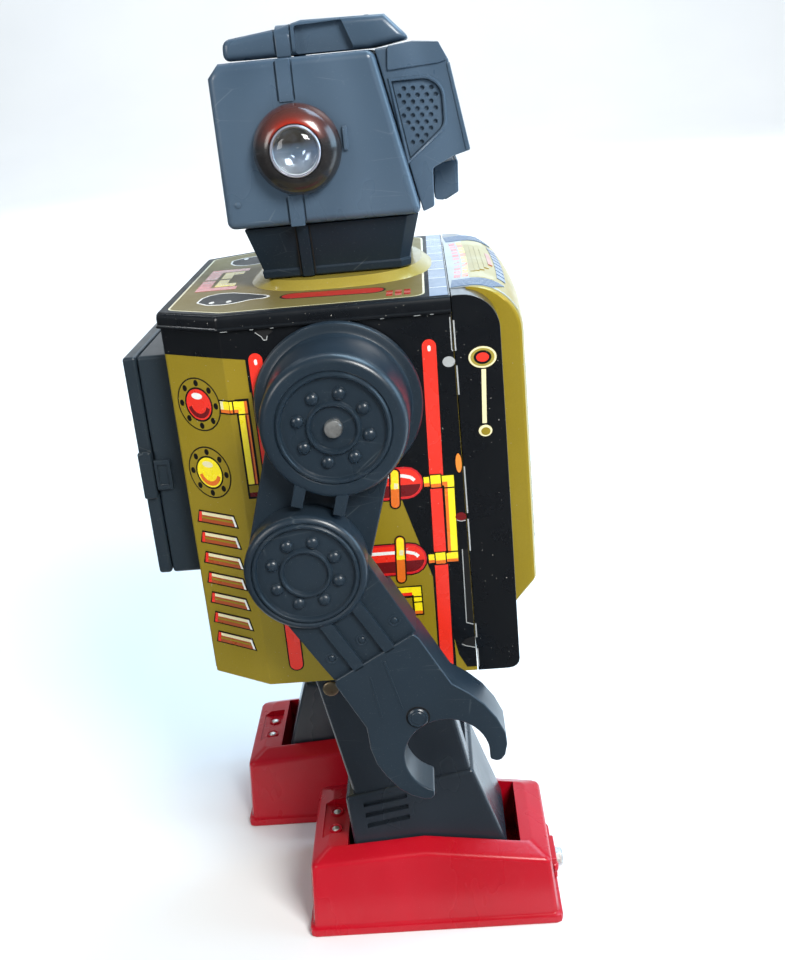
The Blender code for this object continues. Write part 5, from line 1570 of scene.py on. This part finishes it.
# ---------------------------------------------------------------- carried-over nodes


def finish_cad_nodes():
    """The CAD nodes that stay: inner works and rollers, each with its own finish."""
    looks = {
        "door_hinge_pin": STEEL,
        "battery_lower": JACKET,
        "battery_upper": JACKET,
        "motor": STEEL,
        "motor_pinion": BRASS,
        "crank_gear": GEAR,
        "crank_shaft": STEEL,
        "hip_shaft": STEEL,
    }
    for side in SIDES:
        name = side_name(side)
        looks[f"contact_strip_{name}"] = BRASS
        looks[f"gearbox_plate_{name}"] = STEEL
        looks[f"ankle_pin_{name}"] = STEEL
        looks[f"foot_base_{name}"] = TIN_BLACK
        looks[f"roller_front_{name}"] = STEEL
        looks[f"roller_rear_{name}"] = STEEL
    for node, material in looks.items():
        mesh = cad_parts[node].data
        mesh.materials.clear()
        mesh.materials.append(material)


# ---------------------------------------------------------------- stage


def staged(name, mesh, material):
    """Links a stage mesh, which isn't part of the object."""
    mesh.materials.append(material)
    obj = bpy.data.objects.new(name, mesh)
    bpy.context.scene.collection.objects.link(obj)
    return obj


def make_floor():
    """A pale floor that sweeps up behind the robot; metres."""
    material, tree, shader = principled("pale_floor", Roughness=0.7)
    tone = ramp(tree, noise(tree, 3, 2), [(0.3, (0.82, 0.825, 0.83)), (0.7, (0.85, 0.853, 0.855))])
    tree.links.new(tone, shader.inputs["Base Color"])
    profile = [(-4.0, 0.0), (2.6, 0.0)] + arc((2.6, 1.4), 1.4, 270, 360, 18)[1:] + [(4.0, 4.5)]
    bm = bmesh.new()
    rows = [[bm.verts.new((x, y, z)) for x, z in profile] for y in (-5.0, 5.0)]
    for i in range(len(profile) - 1):
        bm.faces.new((rows[0][i], rows[0][i + 1], rows[1][i + 1], rows[1][i]))
    bmesh.ops.recalc_face_normals(bm, faces=bm.faces)
    mesh = bpy.data.meshes.new("floor")
    bm.to_mesh(mesh)
    bm.free()
    mesh.shade_smooth()
    staged("floor", mesh, material)


def make_cards():
    """Dark cards beside the robot: they show in its reflections only, so that its blacks stay deep."""
    mesh = bpy.data.meshes.new("dark_cards")
    corners = rect(-3.0, -0.072, -3.0, 0.125) + rect(-3.0, 1.0, 0.125, 3.0)
    mesh.from_pydata([(x, y, 0.0006) for x, y in corners], [], [(0, 1, 2, 3), (4, 5, 6, 7)])
    cards = staged("dark_cards", mesh, PAINTED_SHADE)
    cards.visible_camera = False
    cards.visible_shadow = False
    cards.visible_diffuse = False


def make_world():
    """Cool and dim as a light, and pale where the camera looks past the backdrop."""
    world = bpy.data.worlds.new("soft_room")
    bpy.context.scene.world = world
    world.use_nodes = True
    tree = world.node_tree
    background = tree.nodes["Background"]
    seen = tree.nodes.new("ShaderNodeLightPath").outputs["Is Camera Ray"]
    strength = tree.nodes.new("ShaderNodeMath")
    strength.operation = "MULTIPLY_ADD"
    strength.inputs[1].default_value = 0.80
    strength.inputs[2].default_value = 0.15
    tree.links.new(seen, strength.inputs[0])
    tree.links.new(strength.outputs[0], background.inputs["Strength"])
    tree.links.new(mixed(tree, seen, (0.62, 0.82, 1.0), (0.93, 0.95, 0.97)), background.inputs["Color"])


def area_light(name, place, target, size, power, colour):
    light = bpy.data.lights.new(name, "AREA")
    light.shape = "RECTANGLE"
    light.size, light.size_y = size
    light.energy = power
    light.color = colour
    obj = bpy.data.objects.new(name, light)
    obj.location = place
    obj.rotation_euler = (Vector(target) - Vector(place)).to_track_quat("-Z", "Y").to_euler()
    obj.visible_camera = False
    bpy.context.scene.collection.objects.link(obj)


def make_lights():
    """Area lights in metres and watts: place, target, size, power and colour."""
    chest = (0, 0, 0.15)
    blue = (0.50, 0.76, 1.0)
    area_light("key", (-0.85, -0.55, 0.95), chest, (0.45, 0.45), 21.0, (1.0, 0.99, 0.96))
    area_light("window", (2.3, -0.9, 0.95), chest, (2.6, 1.5), 8.0, blue)
    area_light("backdrop", (1.0, 0.0, 2.2), (3.6, 0, 0.5), (3.0, 1.0), 105.0, (0.95, 0.98, 1.0))
    area_light("top", (0.35, -0.40, 1.1), (0, 0, 0.2), (0.8, 0.6), 11.5, (0.50, 0.77, 1.0))
    area_light("front", (0.05, -1.25, 0.55), chest, (0.9, 0.8), 11.0, blue)
    area_light("fill", (-0.8, 0.9, 0.6), chest, (0.5, 0.5), 5.0, (1.0, 0.97, 0.93))


def make_camera():
    """The photograph's view, in metres and degrees."""
    place = (-0.3600, -0.0318, 0.2752)
    tilt, yaw, roll = math.radians(20.49), math.radians(2.95), math.radians(5.548)
    camera = bpy.data.cameras.new("camera")
    camera.sensor_width = 36.0
    camera.sensor_fit = "AUTO"
    camera.lens = 42.92
    camera.clip_start = 0.01
    ahead = Vector((math.cos(tilt) * math.cos(yaw), math.cos(tilt) * math.sin(yaw), -math.sin(tilt)))
    right = Vector((math.sin(yaw), -math.cos(yaw), 0.0))
    up = right.cross(ahead)
    x = right * math.cos(roll) - up * math.sin(roll)
    y = right * math.sin(roll) + up * math.cos(roll)
    axes = Matrix((x, y, -ahead)).transposed()
    obj = bpy.data.objects.new("camera", camera)
    obj.matrix_world = Matrix.Translation(place) @ axes.to_4x4()
    bpy.context.scene.collection.objects.link(obj)
    bpy.context.scene.camera = obj


make_camera()
make_floor()
make_cards()
make_world()
make_lights()
make_torso()
make_chest()
make_battery_box()
make_neck()
make_head()
for side in SIDES:
    make_upper_arm(side)
    make_forearm(side)
    make_leg(side)
    make_foot(side)
finish_cad_nodes()
bpy.context.scene.view_settings.view_transform = "Standard"
